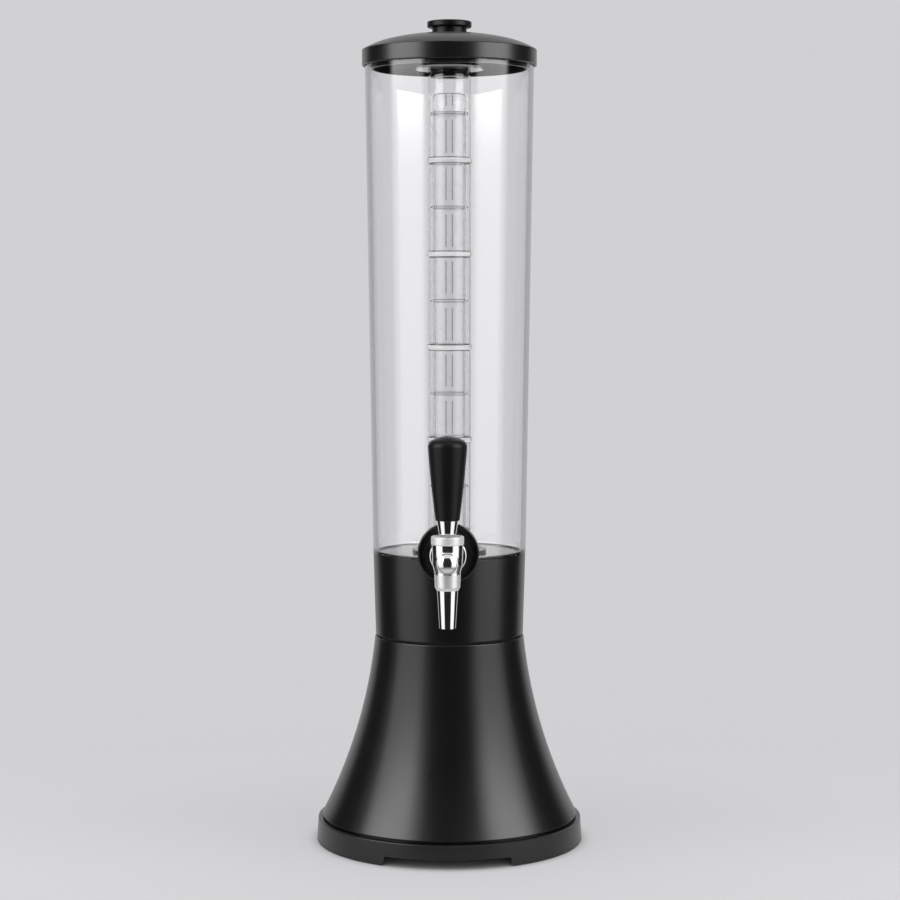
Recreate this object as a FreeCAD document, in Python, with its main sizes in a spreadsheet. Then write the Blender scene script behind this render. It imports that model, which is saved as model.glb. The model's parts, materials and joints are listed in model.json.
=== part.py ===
import FreeCAD, Part
import os
import re
import Sketcher
from FreeCAD import Placement, Rotation, Vector

# Table-top beer tower: a flared base, a clear tapered container on a black collar, an ice tube
# that hangs from the lid, and a chrome beer tap in front. Millimetres; +Z is up and the tap faces
# -Y. The origin is at the level of the table, halfway between the tap's nose and the foot ring's
# rear, so the tower's axis stands a little behind it.

SIZES = [
    # foot ring
    ("foot_ledge", 3.1, "how far the foot ring stands out beyond the bell's edge"),
    ("foot_flare", 1.2, "how much wider the foot ring is at the table"),
    ("foot_height", 20.2, "level of the foot ring's top face"),
    ("foot_wall", 3.0, "thickness of the foot ring's outer wall"),
    ("foot_web", 3.0, "thickness of the flat top of the foot ring"),
    ("foot_web_width", 27.2, "width of the flat top of the foot ring"),
    ("foot_edge_round", 0.8, "round on the foot ring's upper edge"),
    ("foot_clearance", 0.6, "height of the band's lower edge above the table"),
    ("arch_height", 8.0, "level of the top of each arch between the feet"),
    ("arch_half_width", 52.1, "half the width of an arch at its top"),
    ("arch_draft", 1.7, "how much wider half an arch is at the table"),
    ("pad_radius", 7.5, "radius of a rubber foot"),
    ("pad_height", 3.2, "thickness of a rubber foot"),
    ("pad_recess", 1.0, "depth of the recess that holds a rubber foot"),
    ("pad_gap", 0.1, "clearance round a rubber foot in its recess"),
    ("pad_boss_wall", 1.5, "wall round that recess"),
    ("pad_inset", 11.7, "distance of the rubber feet's centres from the foot ring's edge"),
    ("pad_spread", 34.5, "sideways distance of a rubber foot from the middle of its sector"),
    # base shell
    ("bell_foot_radius", 110.1, "outer radius of the bell's lower edge"),
    ("bell_foot_level", 21.7, "level of the bell's lower edge"),
    ("bell_top_radius", 63.8, "outer radius of the bell at its deck"),
    ("bell_top", 177.3, "level of the deck"),
    ("bell_curve_radius", 433.0, "radius of the arc that the flared side follows"),
    ("bell_wall", 3.0, "wall of the bell"),
    ("bell_lip_inset", 3.0, "how far the lip below the bell's edge is set back"),
    ("bell_top_round", 1.0, "round on the deck's edge"),
    ("bell_foot_round", 0.8, "round on the bell's lower edge"),
    ("deck_thickness", 3.5, "thickness of the deck"),
    ("gusset_room", 6.0, "distance between the tower nut's lugs and the gussets under the deck"),
    ("gusset_height", 20.0, "height of a gusset at the wall"),
    ("gusset_thickness", 2.5, "thickness of a gusset"),
    ("boss_radius", 5.5, "radius of a screw boss"),
    ("boss_inset", 9.1, "distance of a screw boss's centre from the bore of the bell's lip"),
    ("boss_height", 18.0, "height of a screw boss"),
    ("screw_radius", 2.0, "radius of a base screw"),
    ("screw_bite", 14.0, "length of a base screw inside its boss"),
    ("screw_head_radius", 4.2, "radius of a base screw's head"),
    ("screw_head_height", 2.4, "height of a base screw's head"),
    ("screw_gap", 0.05, "radial clearance drawn round every thread"),
    ("screw_hole_gap", 0.3, "radial clearance of the screws in the foot ring"),
    # collar and its fixing under the deck
    ("seam_height", 1.7, "thickness of the gasket between deck and collar"),
    ("seam_inset", 3.0, "how far that gasket is set back from the collar's side"),
    ("collar_height", 70.0, "height of the collar"),
    ("collar_top_step", 0.2, "how far the collar's top is set back from the container's side"),
    ("collar_bottom_radius", 63.3, "outer radius of the collar at its bottom"),
    ("collar_wall", 3.0, "wall of the collar"),
    ("collar_web", 4.0, "thickness of the collar's floor"),
    ("collar_edge_round", 0.6, "round on the collar's outer edges"),
    ("hub_radius", 22.0, "outer radius of the threaded hub below the collar"),
    ("hub_bore", 17.0, "radius of the bore in the hub"),
    ("hub_spare", 2.5, "how far the hub stands out below the tower nut"),
    ("hub_gap", 0.4, "radial clearance of the hub in the deck"),
    ("washer_radius", 34.0, "outer radius of the tower washer and of the tower nut's flange"),
    ("washer_thickness", 1.5, "thickness of the tower washer"),
    ("tower_nut_radius", 29.0, "outer radius of the tower nut's ring"),
    ("tower_nut_height", 10.0, "height of the tower nut"),
    ("tower_nut_flange", 2.5, "thickness of the tower nut's flange"),
    ("lug_length", 11.0, "length of the tower nut's finger lugs"),
    ("lug_width", 7.0, "width of a finger lug"),
    # clear container
    ("container_height", 424.0, "height of the container's rim above the collar"),
    ("container_base_radius", 65.5, "outer radius of the container at the collar"),
    ("container_rim_radius", 71.8, "outer radius of the container's rim"),
    ("container_wall", 3.0, "wall of the container"),
    ("container_floor", 3.5, "thickness of the container's floor"),
    ("container_floor_round", 3.0, "inner round between floor and wall"),
    ("container_rim_round", 0.8, "round on the container's rim"),
    ("spigot_gap", 0.15, "clearance of the container's spigot in the collar"),
    ("spigot_wall", 4.5, "wall of that spigot"),
    ("spigot_height", 19.0, "height of that spigot"),
    ("ring_section", 2.2, "thickness of the sealing ring round the spigot"),
    ("ring_groove_width", 2.6, "width of the groove for that ring"),
    ("ring_rise", 1.8, "height of the groove's lower side above the spigot's end"),
    ("fit_gap", 0.1, "clearance between fitted rings and their neighbours"),
    # passage of the tap's shank
    ("tap_rise", 6.5, "height of the shank's axis above the collar's top"),
    ("shank_radius", 11.0, "outer radius of the shank"),
    ("shank_bore", 4.0, "radius of the passage through the shank"),
    ("shank_gap", 0.3, "radial clearance of the shank in what it passes through"),
    ("boss_pad_margin", 1.9, "how far the flat pad inside the container shows round the shank nut"),
    ("boss_pad_depth", 5.6, "how far that pad stands in from the wall"),
    ("nut_pocket_depth", 21.0, "depth of the pocket for the shank nut, from the pad inwards"),
    ("nut_pocket_gap", 0.3, "extra half width of that pocket over the pad"),
    ("nut_pocket_wall", 2.5, "wall of that pocket"),
    ("inner_washer_width", 4.5, "width of the rubber washer behind the shank nut"),
    ("inner_washer_thickness", 2.0, "thickness of that washer"),
    ("shank_nut_wall", 2.5, "least wall of the shank nut"),
    ("shank_nut_height", 8.0, "height of the shank nut"),
    ("shank_tail", 3.0, "length of shank that shows behind its nut"),
    ("outer_gasket_inset", 1.0, "how far the saddle gasket is set back from the escutcheon's rim"),
    ("outer_gasket_thickness", 1.5, "thickness of the saddle gasket"),
    ("escutcheon_radius", 25.5, "outer radius of the escutcheon"),
    ("escutcheon_height", 8.9, "height of the escutcheon's plateau above the container"),
    ("escutcheon_rim_drop", 2.2, "how far the escutcheon's rim lies behind its plateau"),
    ("escutcheon_valley_drop", 4.0, "how far the groove in the escutcheon lies behind its plateau"),
    ("escutcheon_plateau_radius", 19.8, "radius of the escutcheon's plateau"),
    ("escutcheon_valley_radius", 22.6, "outer radius of the groove in the escutcheon"),
    ("escutcheon_slope", 0.7, "radial run of the groove's sloping sides"),
    ("escutcheon_round", 1.2, "round on the escutcheon's rim"),
    # coupling between shank and tap
    ("shank_flange_radius", 15.0, "radius of the shank's flange"),
    ("shank_flange_thickness", 2.5, "thickness of the shank's flange"),
    ("coupling_thread_radius", 13.0, "radius of the thread that takes the coupling nut"),
    ("shank_nose_length", 5.5, "length of the shank's threaded nose in front of its flange"),
    ("coupling_washer_thickness", 1.5, "thickness of the washer between shank and tap"),
    ("coupling_washer_bore", 7.0, "radius of the hole in that washer"),
    ("coupling_wall", 2.2, "wall of the coupling nut"),
    ("coupling_lip", 1.5, "thickness of the coupling nut's front lip"),
    ("coupling_round", 1.4, "round on the coupling nut's edges"),
    ("coupling_gap", 0.15, "clearance inside the coupling nut"),
    ("spanner_hole_radius", 2.4, "radius of the holes for a pin spanner"),
    # tap body, measured from the crossing of its upright and level axes
    ("body_rear", 36.0, "distance of the body's rear face behind the upright axis"),
    ("body_flange_length", 4.0, "length of the body's rear flange"),
    ("body_barrel_radius", 10.8, "radius of the body's rear barrel"),
    ("nose_radius", 8.7, "radius of the body's front barrel"),
    ("nose_length", 19.86, "length of the front barrel"),
    ("nose_round", 1.2, "round between the front barrel and its cap"),
    ("nose_dome_radius", 10.5, "radius of curvature of the domed cap"),
    ("body_top", 13.0, "height of the body's top above the level axis"),
    ("body_top_radius", 13.0, "radius of the body at its top"),
    ("body_waist_level", 3.5, "depth of the shoulder's start below the level axis"),
    ("body_waist_radius", 12.5, "radius of the body where its shoulder starts"),
    ("body_neck_level", 9.5, "depth of the shoulder's end below the level axis"),
    ("body_neck_radius", 10.8, "radius of the body below its shoulder"),
    ("body_foot_level", 21.5, "depth of the chamfer's start below the level axis"),
    ("body_foot_radius", 10.3, "radius of the body above its lower chamfer"),
    ("body_end_level", 24.1, "depth of the body's lower end below the level axis"),
    ("body_end_radius", 8.9, "radius of the body's lower end"),
    ("body_soften", 1.2, "round on the body's shoulder and lower edge"),
    ("seal_room", 1.4, "clearance round the valve seal in its chamber"),
    ("seat_distance", 22.0, "distance of the valve seat behind the upright axis"),
    ("throat_radius", 5.0, "radius of the passage through the valve seat"),
    ("throat_length", 9.0, "length of that passage"),
    ("chamber_room", 3.3, "clearance round the plunger's block in the body's inner chamber"),
    ("chamber_front", 11.0, "distance of the chamber's front wall from the upright axis"),
    ("guide_depth", 9.0, "depth of the plunger's guide hole in the front wall"),
    ("guide_gap", 0.05, "radial clearance of the plunger in its guide"),
    # spout
    ("spout_root_radius", 8.7, "outer radius of the spout where it leaves the body"),
    ("spout_tip_radius", 6.8, "outer radius of the spout's tip"),
    ("spout_length", 30.8, "length of the spout below the body"),
    ("spout_bore", 4.5, "radius of the passage through the spout's stem"),
    ("spout_mouth_bore", 5.2, "radius of the wider bore at the spout's mouth"),
    ("spout_mouth_depth", 27.0, "depth of that wider bore"),
    ("spout_stem_radius", 6.0, "radius of the stem that is pressed into the body"),
    ("spout_stem_length", 10.0, "length of that stem"),
    ("stem_gap", 0.05, "radial clearance drawn round the spout's stem"),
    # valve plunger
    ("plunger_radius", 2.5, "radius of the plunger's rod"),
    ("plunger_front", 18.5, "distance of the rod's front end from the upright axis"),
    ("plunger_cheek", 1.6, "thickness of the plunger's block beside the lever's tip"),
    ("plunger_block_half", 6.0, "half the length of that block"),
    ("plunger_slot_play", 0.6, "clearance of the lever's tip along its slot"),
    ("plunger_slot_gap", 0.2, "side clearance of the lever's tip in that slot"),
    ("plunger_shoulder_radius", 3.6, "radius of the shoulder in front of the valve seal"),
    ("plunger_shoulder_length", 2.5, "length of that shoulder"),
    ("seal_overlap", 1.8, "how far the valve seal covers its seat"),
    ("seal_thickness", 2.9, "thickness of the valve seal"),
    ("seal_gap", 0.1, "clearance between the closed valve seal and its seat"),
    ("plunger_nut_radius", 4.5, "radius of the plunger's end nut"),
    ("plunger_nut_length", 2.0, "length of the plunger's end nut"),
    # lever, bonnet and handle
    ("pivot_rise", 10.5, "height of the lever's pivot above the level axis"),
    ("ball_radius", 9.0, "radius of the lever's ball"),
    ("ball_gap", 0.3, "clearance of the ball in the body"),
    ("ball_cut", 2.0, "depth of the ball's flat underside below the pivot"),
    ("tip_radius", 2.4, "radius of the round tip that moves the plunger"),
    ("tip_neck_radius", 1.6, "radius of the neck above that tip"),
    ("tip_neck_length", 4.5, "height of the neck's end above the tip's centre"),
    ("stem_radius", 3.0, "radius of the lever's stem"),
    ("stem_bite", 20.0, "length of the lever's stem inside the handle"),
    ("lever_collar_radius", 5.0, "radius of the collar that carries the ferrule"),
    ("bonnet_skirt_wall", 2.0, "wall of the bonnet's threaded skirt"),
    ("socket_depth", 6.0, "depth of that socket"),
    ("bearing_height", 1.4, "thickness of the bearing ring under the bonnet"),
    ("bonnet_step", 0.3, "how far the bonnet stands out beyond the body's top"),
    ("bonnet_height", 6.7, "height of the bonnet above the body"),
    ("bonnet_wall", 2.4, "wall of the bonnet round the opening in its top"),
    ("bonnet_flare", 0.8, "how much wider that opening is at its rim"),
    ("bonnet_lip_level", 2.0, "height above the body of the lip that holds the ball"),
    ("bonnet_lip_drop", 3.0, "height of that lip's sloping inner side"),
    ("bonnet_lip_gap", 0.3, "clearance between that lip and the ball"),
    ("bonnet_round", 0.7, "round on the bonnet's outer edges"),
    ("ferrule_bottom_radius", 6.7, "radius of the ferrule's lower end"),
    ("ferrule_top_radius", 8.8, "radius of the ferrule's upper end"),
    ("ferrule_height", 12.9, "height of the ferrule"),
    ("handle_bottom_radius", 9.9, "radius of the handle just above its lower end"),
    ("handle_bottom_round", 1.0, "round on the handle's lower end"),
    ("handle_top_radius", 15.9, "largest radius of the handle"),
    ("handle_side_height", 59.3, "height of the handle's largest radius above its lower end"),
    ("handle_side_curve", 1000.0, "radius of the arc that the handle's side follows"),
    ("handle_shoulder_radius", 11.4, "radius at which the handle's shoulder meets its crown"),
    ("handle_shoulder_rise", 6.2, "height of the handle's shoulder"),
    ("handle_shoulder_curve", 6.5, "radius of the arc over the shoulder"),
    ("handle_crown_curve", 26.6, "radius of the handle's domed crown"),
    ("stem_hole_spare", 1.0, "depth of a threaded hole beyond the stem or screw in it"),
    # ice tube and the cold pack in it
    ("seat_radius", 31.6, "outer radius of the ice tube's seat on the container's floor"),
    ("seat_thickness", 2.5, "thickness of that seat"),
    ("seat_cup_wall", 2.7, "wall of the cup on the seat"),
    ("seat_cup_height", 7.5, "height of the cup above the seat"),
    ("seat_cup_gap", 0.65, "radial clearance of the ice tube in the cup"),
    ("tube_lift", 0.5, "clearance under the hanging ice tube"),
    ("tube_radius", 18.15, "outer radius of the ice tube"),
    ("tube_wall", 1.6, "wall of the ice tube"),
    ("tube_top_drop", 12.0, "depth of the ice tube's top below the container's rim"),
    ("tube_flange_radius", 28.5, "radius of the ice tube's flange"),
    ("tube_flange_thickness", 2.0, "thickness of that flange"),
    ("tube_bottom_round", 3.0, "round on the ice tube's closed end"),
    ("bead_radius", 19.3, "outer radius of the ice tube's beads"),
    ("bead_height", 4.4, "height of a bead"),
    ("bead_curve", 5.0, "radius of the arc round a bead"),
    ("first_bead", 78.5, "depth of the first bead below the ice tube's top"),
    ("bead_pitch", 79.0, "distance from bead to bead"),
    ("lug_height", 1.6, "height of the ice tube's locking lugs"),
    ("lug_depth", 0.95, "how far a locking lug stands in from the tube's bore"),
    ("lug_half_width", 3.0, "half the width of a locking lug"),
    ("lug_drop", 6.2, "depth of a lug's lower side below the ice tube's top"),
    ("lug_gap", 0.35, "clearance of a lug in its groove"),
    ("pack_radius", 13.9, "outer radius of the cold pack"),
    ("pack_wall", 1.2, "wall of the cold pack"),
    ("pack_top_drop", 22.2, "depth of the cold pack's top below the ice tube's top"),
    ("pack_top_round", 3.0, "round on the cold pack's top"),
    ("gel_drop", 15.1, "depth of the gel's level below the cold pack's top"),
    ("gel_gap", 0.05, "clearance round the gel"),
    ("spacer_gap", 0.25, "clearance of the cold pack's spacer rings in the ice tube"),
    ("spacer_height", 1.5, "height of a spacer ring"),
    ("first_spacer", 16.8, "depth of the first spacer ring below the cold pack's top"),
    ("pack_rib_width", 4.8, "width of the raised rib along the cold pack"),
    ("pack_rib_rise", 1.3, "height of that rib"),
    ("pack_rib_margin", 20.0, "distance of the rib's ends from the ends of the cold pack"),
    ("plug_height", 6.0, "height of the plug that closes the cold pack"),
    ("plug_flange", 1.5, "thickness of the plug's flange"),
    # lid and knob
    ("lid_gap", 0.4, "clearance of the lid's skirt round the container's rim"),
    ("lid_wall", 2.5, "thickness of the lid's dome"),
    ("lid_skirt_wall", 1.8, "thickness of the lid's skirt"),
    ("lid_skirt_depth", 10.9, "depth of the skirt below the container's rim"),
    ("lid_edge_rise", 2.79, "height of the dome's edge above the container's rim"),
    ("lid_crown_curve", 230.0, "radius of the arc over the middle of the lid"),
    ("lid_shoulder_width", 20.2, "width of the lid's rounder shoulder"),
    ("lid_shoulder_curve", 75.0, "radius of the arc over the lid's shoulder"),
    ("lid_edge_round", 0.8, "round on the lid's outer edges"),
    ("lid_plug_gap", 1.5, "clearance of the ring that enters the container, at the rim"),
    ("lid_plug_wall", 2.8, "wall of that ring"),
    ("lid_plug_depth", 14.0, "depth of that ring below the container's rim"),
    ("lid_plug_step", 10.0, "depth of the step in that ring below the rim"),
    ("lid_plug_step_inset", 1.0, "how far the ring is set back below that step"),
    ("lid_seal_top", 5.4, "depth of the seal's groove below the rim"),
    ("lid_seal_height", 3.2, "height of the seal's groove"),
    ("lid_seal_groove", 0.8, "depth of the seal's groove"),
    ("lid_seal_gap", 0.15, "clearance between the seal and the container"),
    ("lid_seal_chamfer", 0.6, "chamfer on the seal's outer edges"),
    ("lid_boss_margin", 0.35, "how much wider the boss that carries the ice tube is than the tube"),
    ("lid_boss_bore", 6.0, "radius of the bore in that boss"),
    ("tube_spigot_gap", 0.25, "radial clearance of the ice tube on the lid's spigot"),
    ("tube_spigot_length", 8.5, "length of that spigot"),
    ("tube_ring_section", 1.9, "thickness of the sealing ring on that spigot"),
    ("tube_ring_drop", 1.0, "depth of that ring's groove below the ice tube's top"),
    ("knob_seat_height", 6.0, "thickness of the lid under the knob"),
    ("knob_seat_margin", 0.6, "how much wider than the knob's neck its seat on the lid is"),
    ("knob_neck_radius", 14.6, "radius of the knob's neck"),
    ("knob_neck_height", 4.3, "height of the knob's neck"),
    ("knob_radius", 18.8, "radius of the knob's disc"),
    ("knob_disc_height", 5.2, "height of the knob's disc"),
    ("knob_round", 1.2, "round on the knob's disc"),
    ("knob_crown_curve", 310.0, "radius of the knob's slightly domed top"),
    ("knob_screw_radius", 2.5, "radius of the knob's screw"),
    ("knob_screw_bite", 6.0, "length of that screw inside the knob"),
    ("knob_screw_head_radius", 4.6, "radius of that screw's head"),
    ("knob_screw_head_height", 3.0, "height of that screw's head"),
]

FOOT_COUNT = 3
GUSSET_COUNT = 6
FINGER_LUG_COUNT = 4
SPANNER_HOLE_COUNT = 4
BEAD_COUNT = 4
SPACER_COUNT = 5
LOCKING_LUG_COUNT = 2

# Levels above the table
COLLAR_BOTTOM = "(bell_top + seam_height)"
HUB_END = "(bell_top - deck_thickness - washer_thickness - tower_nut_height - hub_spare)"
COLLAR_TOP = f"({COLLAR_BOTTOM} + collar_height)"
TAP_LEVEL = f"({COLLAR_TOP} + tap_rise)"
RIM_LEVEL = f"({COLLAR_TOP} + container_height)"
DECK_UNDERSIDE = "(bell_top - deck_thickness)"
FOOT_WEB_UNDERSIDE = "(foot_height - foot_web)"
SPIGOT_END = f"({COLLAR_TOP} - spigot_height)"
FLOOR_UNDERSIDE = f"({COLLAR_TOP} - container_floor)"
TUBE_TOP = f"({RIM_LEVEL} - tube_top_drop)"
TUBE_BOTTOM = f"({COLLAR_TOP} + seat_thickness + tube_lift)"
PACK_BOTTOM = f"({TUBE_BOTTOM} + tube_wall)"
PACK_TOP = f"({TUBE_TOP} - pack_top_drop)"

# Radii that follow from what a piece stands on or fits into
FOOT_RIM_RADIUS = "(bell_foot_radius + foot_ledge)"
FOOT_RADIUS = f"({FOOT_RIM_RADIUS} + foot_flare)"
FOOT_WEB_BORE = f"({FOOT_RIM_RADIUS} - foot_web_width)"
PAD_CIRCLE = f"({FOOT_RIM_RADIUS} - pad_inset)"
BELL_LIP_RADIUS = "(bell_foot_radius - bell_lip_inset)"
BELL_LIP_BORE = f"({BELL_LIP_RADIUS} - bell_wall)"
BOSS_CIRCLE = f"({BELL_LIP_BORE} - boss_inset)"
LUG_REACH = "(tower_nut_radius + lug_length)"
COLLAR_TOP_RADIUS = "(container_base_radius - collar_top_step)"
SPIGOT_LEVEL_SHARE = "((collar_height - collar_web - spigot_height) / (collar_height - collar_web))"
SPIGOT_RADIUS = (f"(collar_bottom_radius + ({COLLAR_TOP_RADIUS} - collar_bottom_radius)"
                 f" * {SPIGOT_LEVEL_SHARE} - collar_wall - spigot_gap)")

# The bell's side is one arc; its centre lies outside the bell, on the middle line of its chord
BELL_RISE = "(bell_top - bell_foot_level)"
BELL_SPREAD = "(bell_foot_radius - bell_top_radius)"
BELL_CHORD = f"sqrt({BELL_SPREAD}^2 + {BELL_RISE}^2)"
BELL_REACH = f"(sqrt(bell_curve_radius^2 - {BELL_CHORD}^2 / 4) / {BELL_CHORD})"
BELL_CENTRE_RADIUS = f"((bell_foot_radius + bell_top_radius) / 2 + {BELL_REACH} * {BELL_RISE})"
BELL_CENTRE_LEVEL = f"((bell_foot_level + bell_top) / 2 + {BELL_REACH} * {BELL_SPREAD})"

# Distances in front of the tower's axis, at the level of the tap's shank
SHANK_HOLE = "(shank_radius + shank_gap)"
SHANK_NUT_CORNER = "((shank_radius + shank_nut_wall) * 2 / sqrt(3))"
BOSS_PAD_RADIUS = f"({SHANK_NUT_CORNER} + boss_pad_margin)"
CONTAINER_FRONT = "(container_base_radius + tap_rise * (container_rim_radius - container_base_radius)" \
                  " / container_height)"
PAD_FACE = f"({CONTAINER_FRONT} - container_wall - boss_pad_depth)"
SHANK_NUT_FRONT = f"({PAD_FACE} - inner_washer_thickness)"
SHANK_NUT_BACK = f"({SHANK_NUT_FRONT} - shank_nut_height)"
ESCUTCHEON_FACE = f"({CONTAINER_FRONT} + escutcheon_height)"
SHANK_FLANGE_FACE = f"({ESCUTCHEON_FACE} + shank_flange_thickness)"
SHANK_NOSE = f"({SHANK_FLANGE_FACE} + shank_nose_length)"
TAP_REAR = f"({SHANK_NOSE} + coupling_washer_thickness)"
TAP_REACH = f"({TAP_REAR} + body_rear)"
COUPLING_BORE = "(coupling_thread_radius + coupling_gap)"
BODY_FLANGE_RADIUS = "(coupling_thread_radius - coupling_gap)"
NOSE_DOME = "(nose_dome_radius - sqrt(nose_dome_radius^2 - (nose_radius - nose_round)^2))"
NOSE_END = f"(nose_length + nose_round + {NOSE_DOME})"
AXIS_OFFSET = f"(({TAP_REACH} + {NOSE_END} - {FOOT_RADIUS}) / 2)"

# The lid's dome, from its edge upwards: a rounder shoulder that runs on smoothly into a shallow crown
LID_SKIRT_BORE = "(container_rim_radius + lid_gap)"
LID_RADIUS = f"({LID_SKIRT_BORE} + lid_skirt_wall)"
LID_PLUG_RADIUS = "(container_rim_radius - container_wall - lid_plug_gap)"
LID_PLUG_BORE = f"({LID_PLUG_RADIUS} - lid_plug_wall)"
LID_EDGE_RADIUS = f"({LID_RADIUS} - lid_edge_round)"
LID_EDGE_LEVEL = f"({RIM_LEVEL} + lid_edge_rise)"
CROWN_REACH = f"({LID_EDGE_RADIUS} - lid_shoulder_width)"
CROWN_SINE = f"({CROWN_REACH} / lid_crown_curve)"
SHOULDER_CENTRE_RADIUS = f"({CROWN_REACH} - lid_shoulder_curve * {CROWN_SINE})"
SHOULDER_CENTRE_LEVEL = (f"({LID_EDGE_LEVEL} - sqrt(lid_shoulder_curve^2"
                         f" - ({LID_EDGE_RADIUS} - {SHOULDER_CENTRE_RADIUS})^2))")
CROWN_COSINE = f"sqrt(1 - {CROWN_SINE}^2)"
CROWN_CENTRE = f"({SHOULDER_CENTRE_LEVEL} - (lid_crown_curve - lid_shoulder_curve) * {CROWN_COSINE})"
LID_TOP = f"({CROWN_CENTRE} + lid_crown_curve)"
TUBE_BORE = "(tube_radius - tube_wall)"
TUBE_SPIGOT_RADIUS = f"({TUBE_BORE} - tube_spigot_gap)"

doc = FreeCAD.newDocument("beer_tower")
sheet = doc.addObject("Spreadsheet::Sheet", "Sizes")
for row, (name, value, meaning) in enumerate(SIZES, start=1):
    sheet.set(f"A{row}", meaning)
    sheet.set(f"B{row}", str(value))
    sheet.setAlias(f"B{row}", name)
doc.recompute()
ALIASES = {name for name, value, meaning in SIZES}
PARTS = []


def linked(expression):
    """The expression with each size pointing at its cell of the sheet."""
    return re.sub(r"[a-z_]+", lambda word: f"Sizes.{word[0]}" if word[0] in ALIASES else word[0], expression)


def number(expression):
    """The value of an expression in the sheet's sizes."""
    return float(sheet.evalExpression(expression))


def bell_radius(level, depth):
    """Radius of the bell at a level, at a depth inside its outer surface."""
    run = f"sqrt((bell_curve_radius + {depth})^2 - ({level} - {BELL_CENTRE_LEVEL})^2)"
    return f"({BELL_CENTRE_RADIUS} - {run})"


def container_radius(level):
    """Outer radius of the container, or of its cone carried on downwards, at a level."""
    taper = "(container_rim_radius - container_base_radius) / container_height"
    return f"(container_base_radius + ({level} - {COLLAR_TOP}) * {taper})"


def crown_level(radius, depth):
    """Level of the lid's crown at a radius, at a depth inside its outer surface."""
    return f"({CROWN_CENTRE} + sqrt((lid_crown_curve - {depth})^2 - ({radius})^2))"


def shoulder_level(radius, depth):
    """Level of the lid's shoulder at a radius, at a depth inside its outer surface."""
    return (f"({SHOULDER_CENTRE_LEVEL} + sqrt((lid_shoulder_curve - {depth})^2"
            f" - ({radius} - {SHOULDER_CENTRE_RADIUS})^2))")


# ---------------------------------------------------------------- helpers for bodies and sketches

def new_body(label, forward="0", level="0", faces_front=False):
    """A body for one sub-part, placed forward of the tower's axis at a level.

    Its local z runs up. With faces_front its local x runs forward, otherwise its local y runs back.
    """
    body = doc.addObject("PartDesign::Body", label)
    body.Label = label
    body.AllowCompound = True
    if faces_front:
        body.Placement = Placement(Vector(), Rotation(Vector(0, 0, 1), -90))
    body.setExpression("Placement.Base.y", linked(f"{AXIS_OFFSET} - {forward}"))
    body.setExpression("Placement.Base.z", linked(level))
    PARTS.append(body)
    return body


def origin_feature(body, role):
    """One of the body's own origin planes or axes."""
    return next(feature for feature in body.Origin.OriginFeatures if feature.Role == role)


def new_sketch(body, name, plane, offset="0"):
    """An empty sketch on one of the body's origin planes, moved along the plane's normal."""
    sketch = body.newObject("Sketcher::SketchObject", name)
    sketch.AttachmentSupport = [(origin_feature(body, plane), "")]
    sketch.MapMode = "FlatFace"
    sketch.setExpression("AttachmentOffset.Base.z", linked(offset))
    return sketch


def arc_between(start, end, radius):
    """The arc from start to end. Its centre is left of the way from start to end if radius is positive."""
    along = end - start
    half = along.Length / 2
    left = Vector(-along.y, along.x, 0).normalize()
    sign = 1 if radius > 0 else -1
    centre = (start + end) / 2 + left * sign * max(radius * radius - half * half, 0) ** 0.5
    circle = Part.Circle(centre, Vector(0, 0, 1), abs(radius))
    first, last = (start, end) if radius > 0 else (end, start)
    return Part.ArcOfCircle(circle, circle.parameter(first), circle.parameter(last))


def outline(body, name, corners, plane="XZ_Plane", offset="0"):
    """A closed, fully constrained sketch through corners.

    A corner is (across, up), or (across, up, radius) where an arc leads to it: centre on the left
    of the way for +radius, on the right for -radius, which is written with a leading minus sign.
    """
    sketch = new_sketch(body, name, plane, offset)
    points = [Vector(number(corner[0]), number(corner[1]), 0) for corner in corners]
    edges = []
    for index, corner in enumerate(corners):
        start, end = points[index - 1], points[index]
        curved = len(corner) == 3
        edges.append(arc_between(start, end, number(corner[2])) if curved else Part.LineSegment(start, end))
    sketch.addGeometry(edges)
    clockwise = [len(corner) == 3 and number(corner[2]) < 0 for corner in corners]
    starts = [2 if turned else 1 for turned in clockwise]
    ends = [1 if turned else 2 for turned in clockwise]
    constraints = []
    bindings = []
    for index, corner in enumerate(corners):
        after = (index + 1) % len(corners)
        constraints.append(Sketcher.Constraint("Coincident", index, ends[index], after, starts[after]))
        across = Sketcher.Constraint("DistanceX", index, ends[index], points[index].x)
        bindings.append((len(constraints), f"across_{index}", corner[0]))
        constraints.append(across)
        up = Sketcher.Constraint("DistanceY", index, ends[index], points[index].y)
        bindings.append((len(constraints), f"up_{index}", corner[1]))
        constraints.append(up)
        if len(corner) == 3:
            bindings.append((len(constraints), f"radius_{index}", corner[2].lstrip("-")))
            constraints.append(Sketcher.Constraint("Radius", index, abs(number(corner[2]))))
    sketch.addConstraint(constraints)
    bind(sketch, bindings)
    return sketch


def circles(body, name, centres, radius, plane="XY_Plane", offset="0"):
    """A sketch of equal circles at the centres, each (across, up)."""
    sketch = new_sketch(body, name, plane, offset)
    bindings = []
    for index, (across, up) in enumerate(centres):
        centre = Vector(number(across), number(up), 0)
        sketch.addGeometry(Part.Circle(centre, Vector(0, 0, 1), number(radius)))
        first = sketch.addConstraint(Sketcher.Constraint("DistanceX", index, 3, centre.x))
        sketch.addConstraint(Sketcher.Constraint("DistanceY", index, 3, centre.y))
        sketch.addConstraint(Sketcher.Constraint("Radius", index, number(radius)))
        bindings.append((first, f"across_{index}", across))
        bindings.append((first + 1, f"up_{index}", up))
        bindings.append((first + 2, f"radius_{index}", radius))
    bind(sketch, bindings)
    return sketch


def bind(sketch, bindings):
    """Names a sketch's dimensions and ties them to the sheet."""
    for place, name, expression in bindings:
        sketch.renameConstraint(place, name)
        sketch.setExpression(f"Constraints.{name}", linked(expression))


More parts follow.
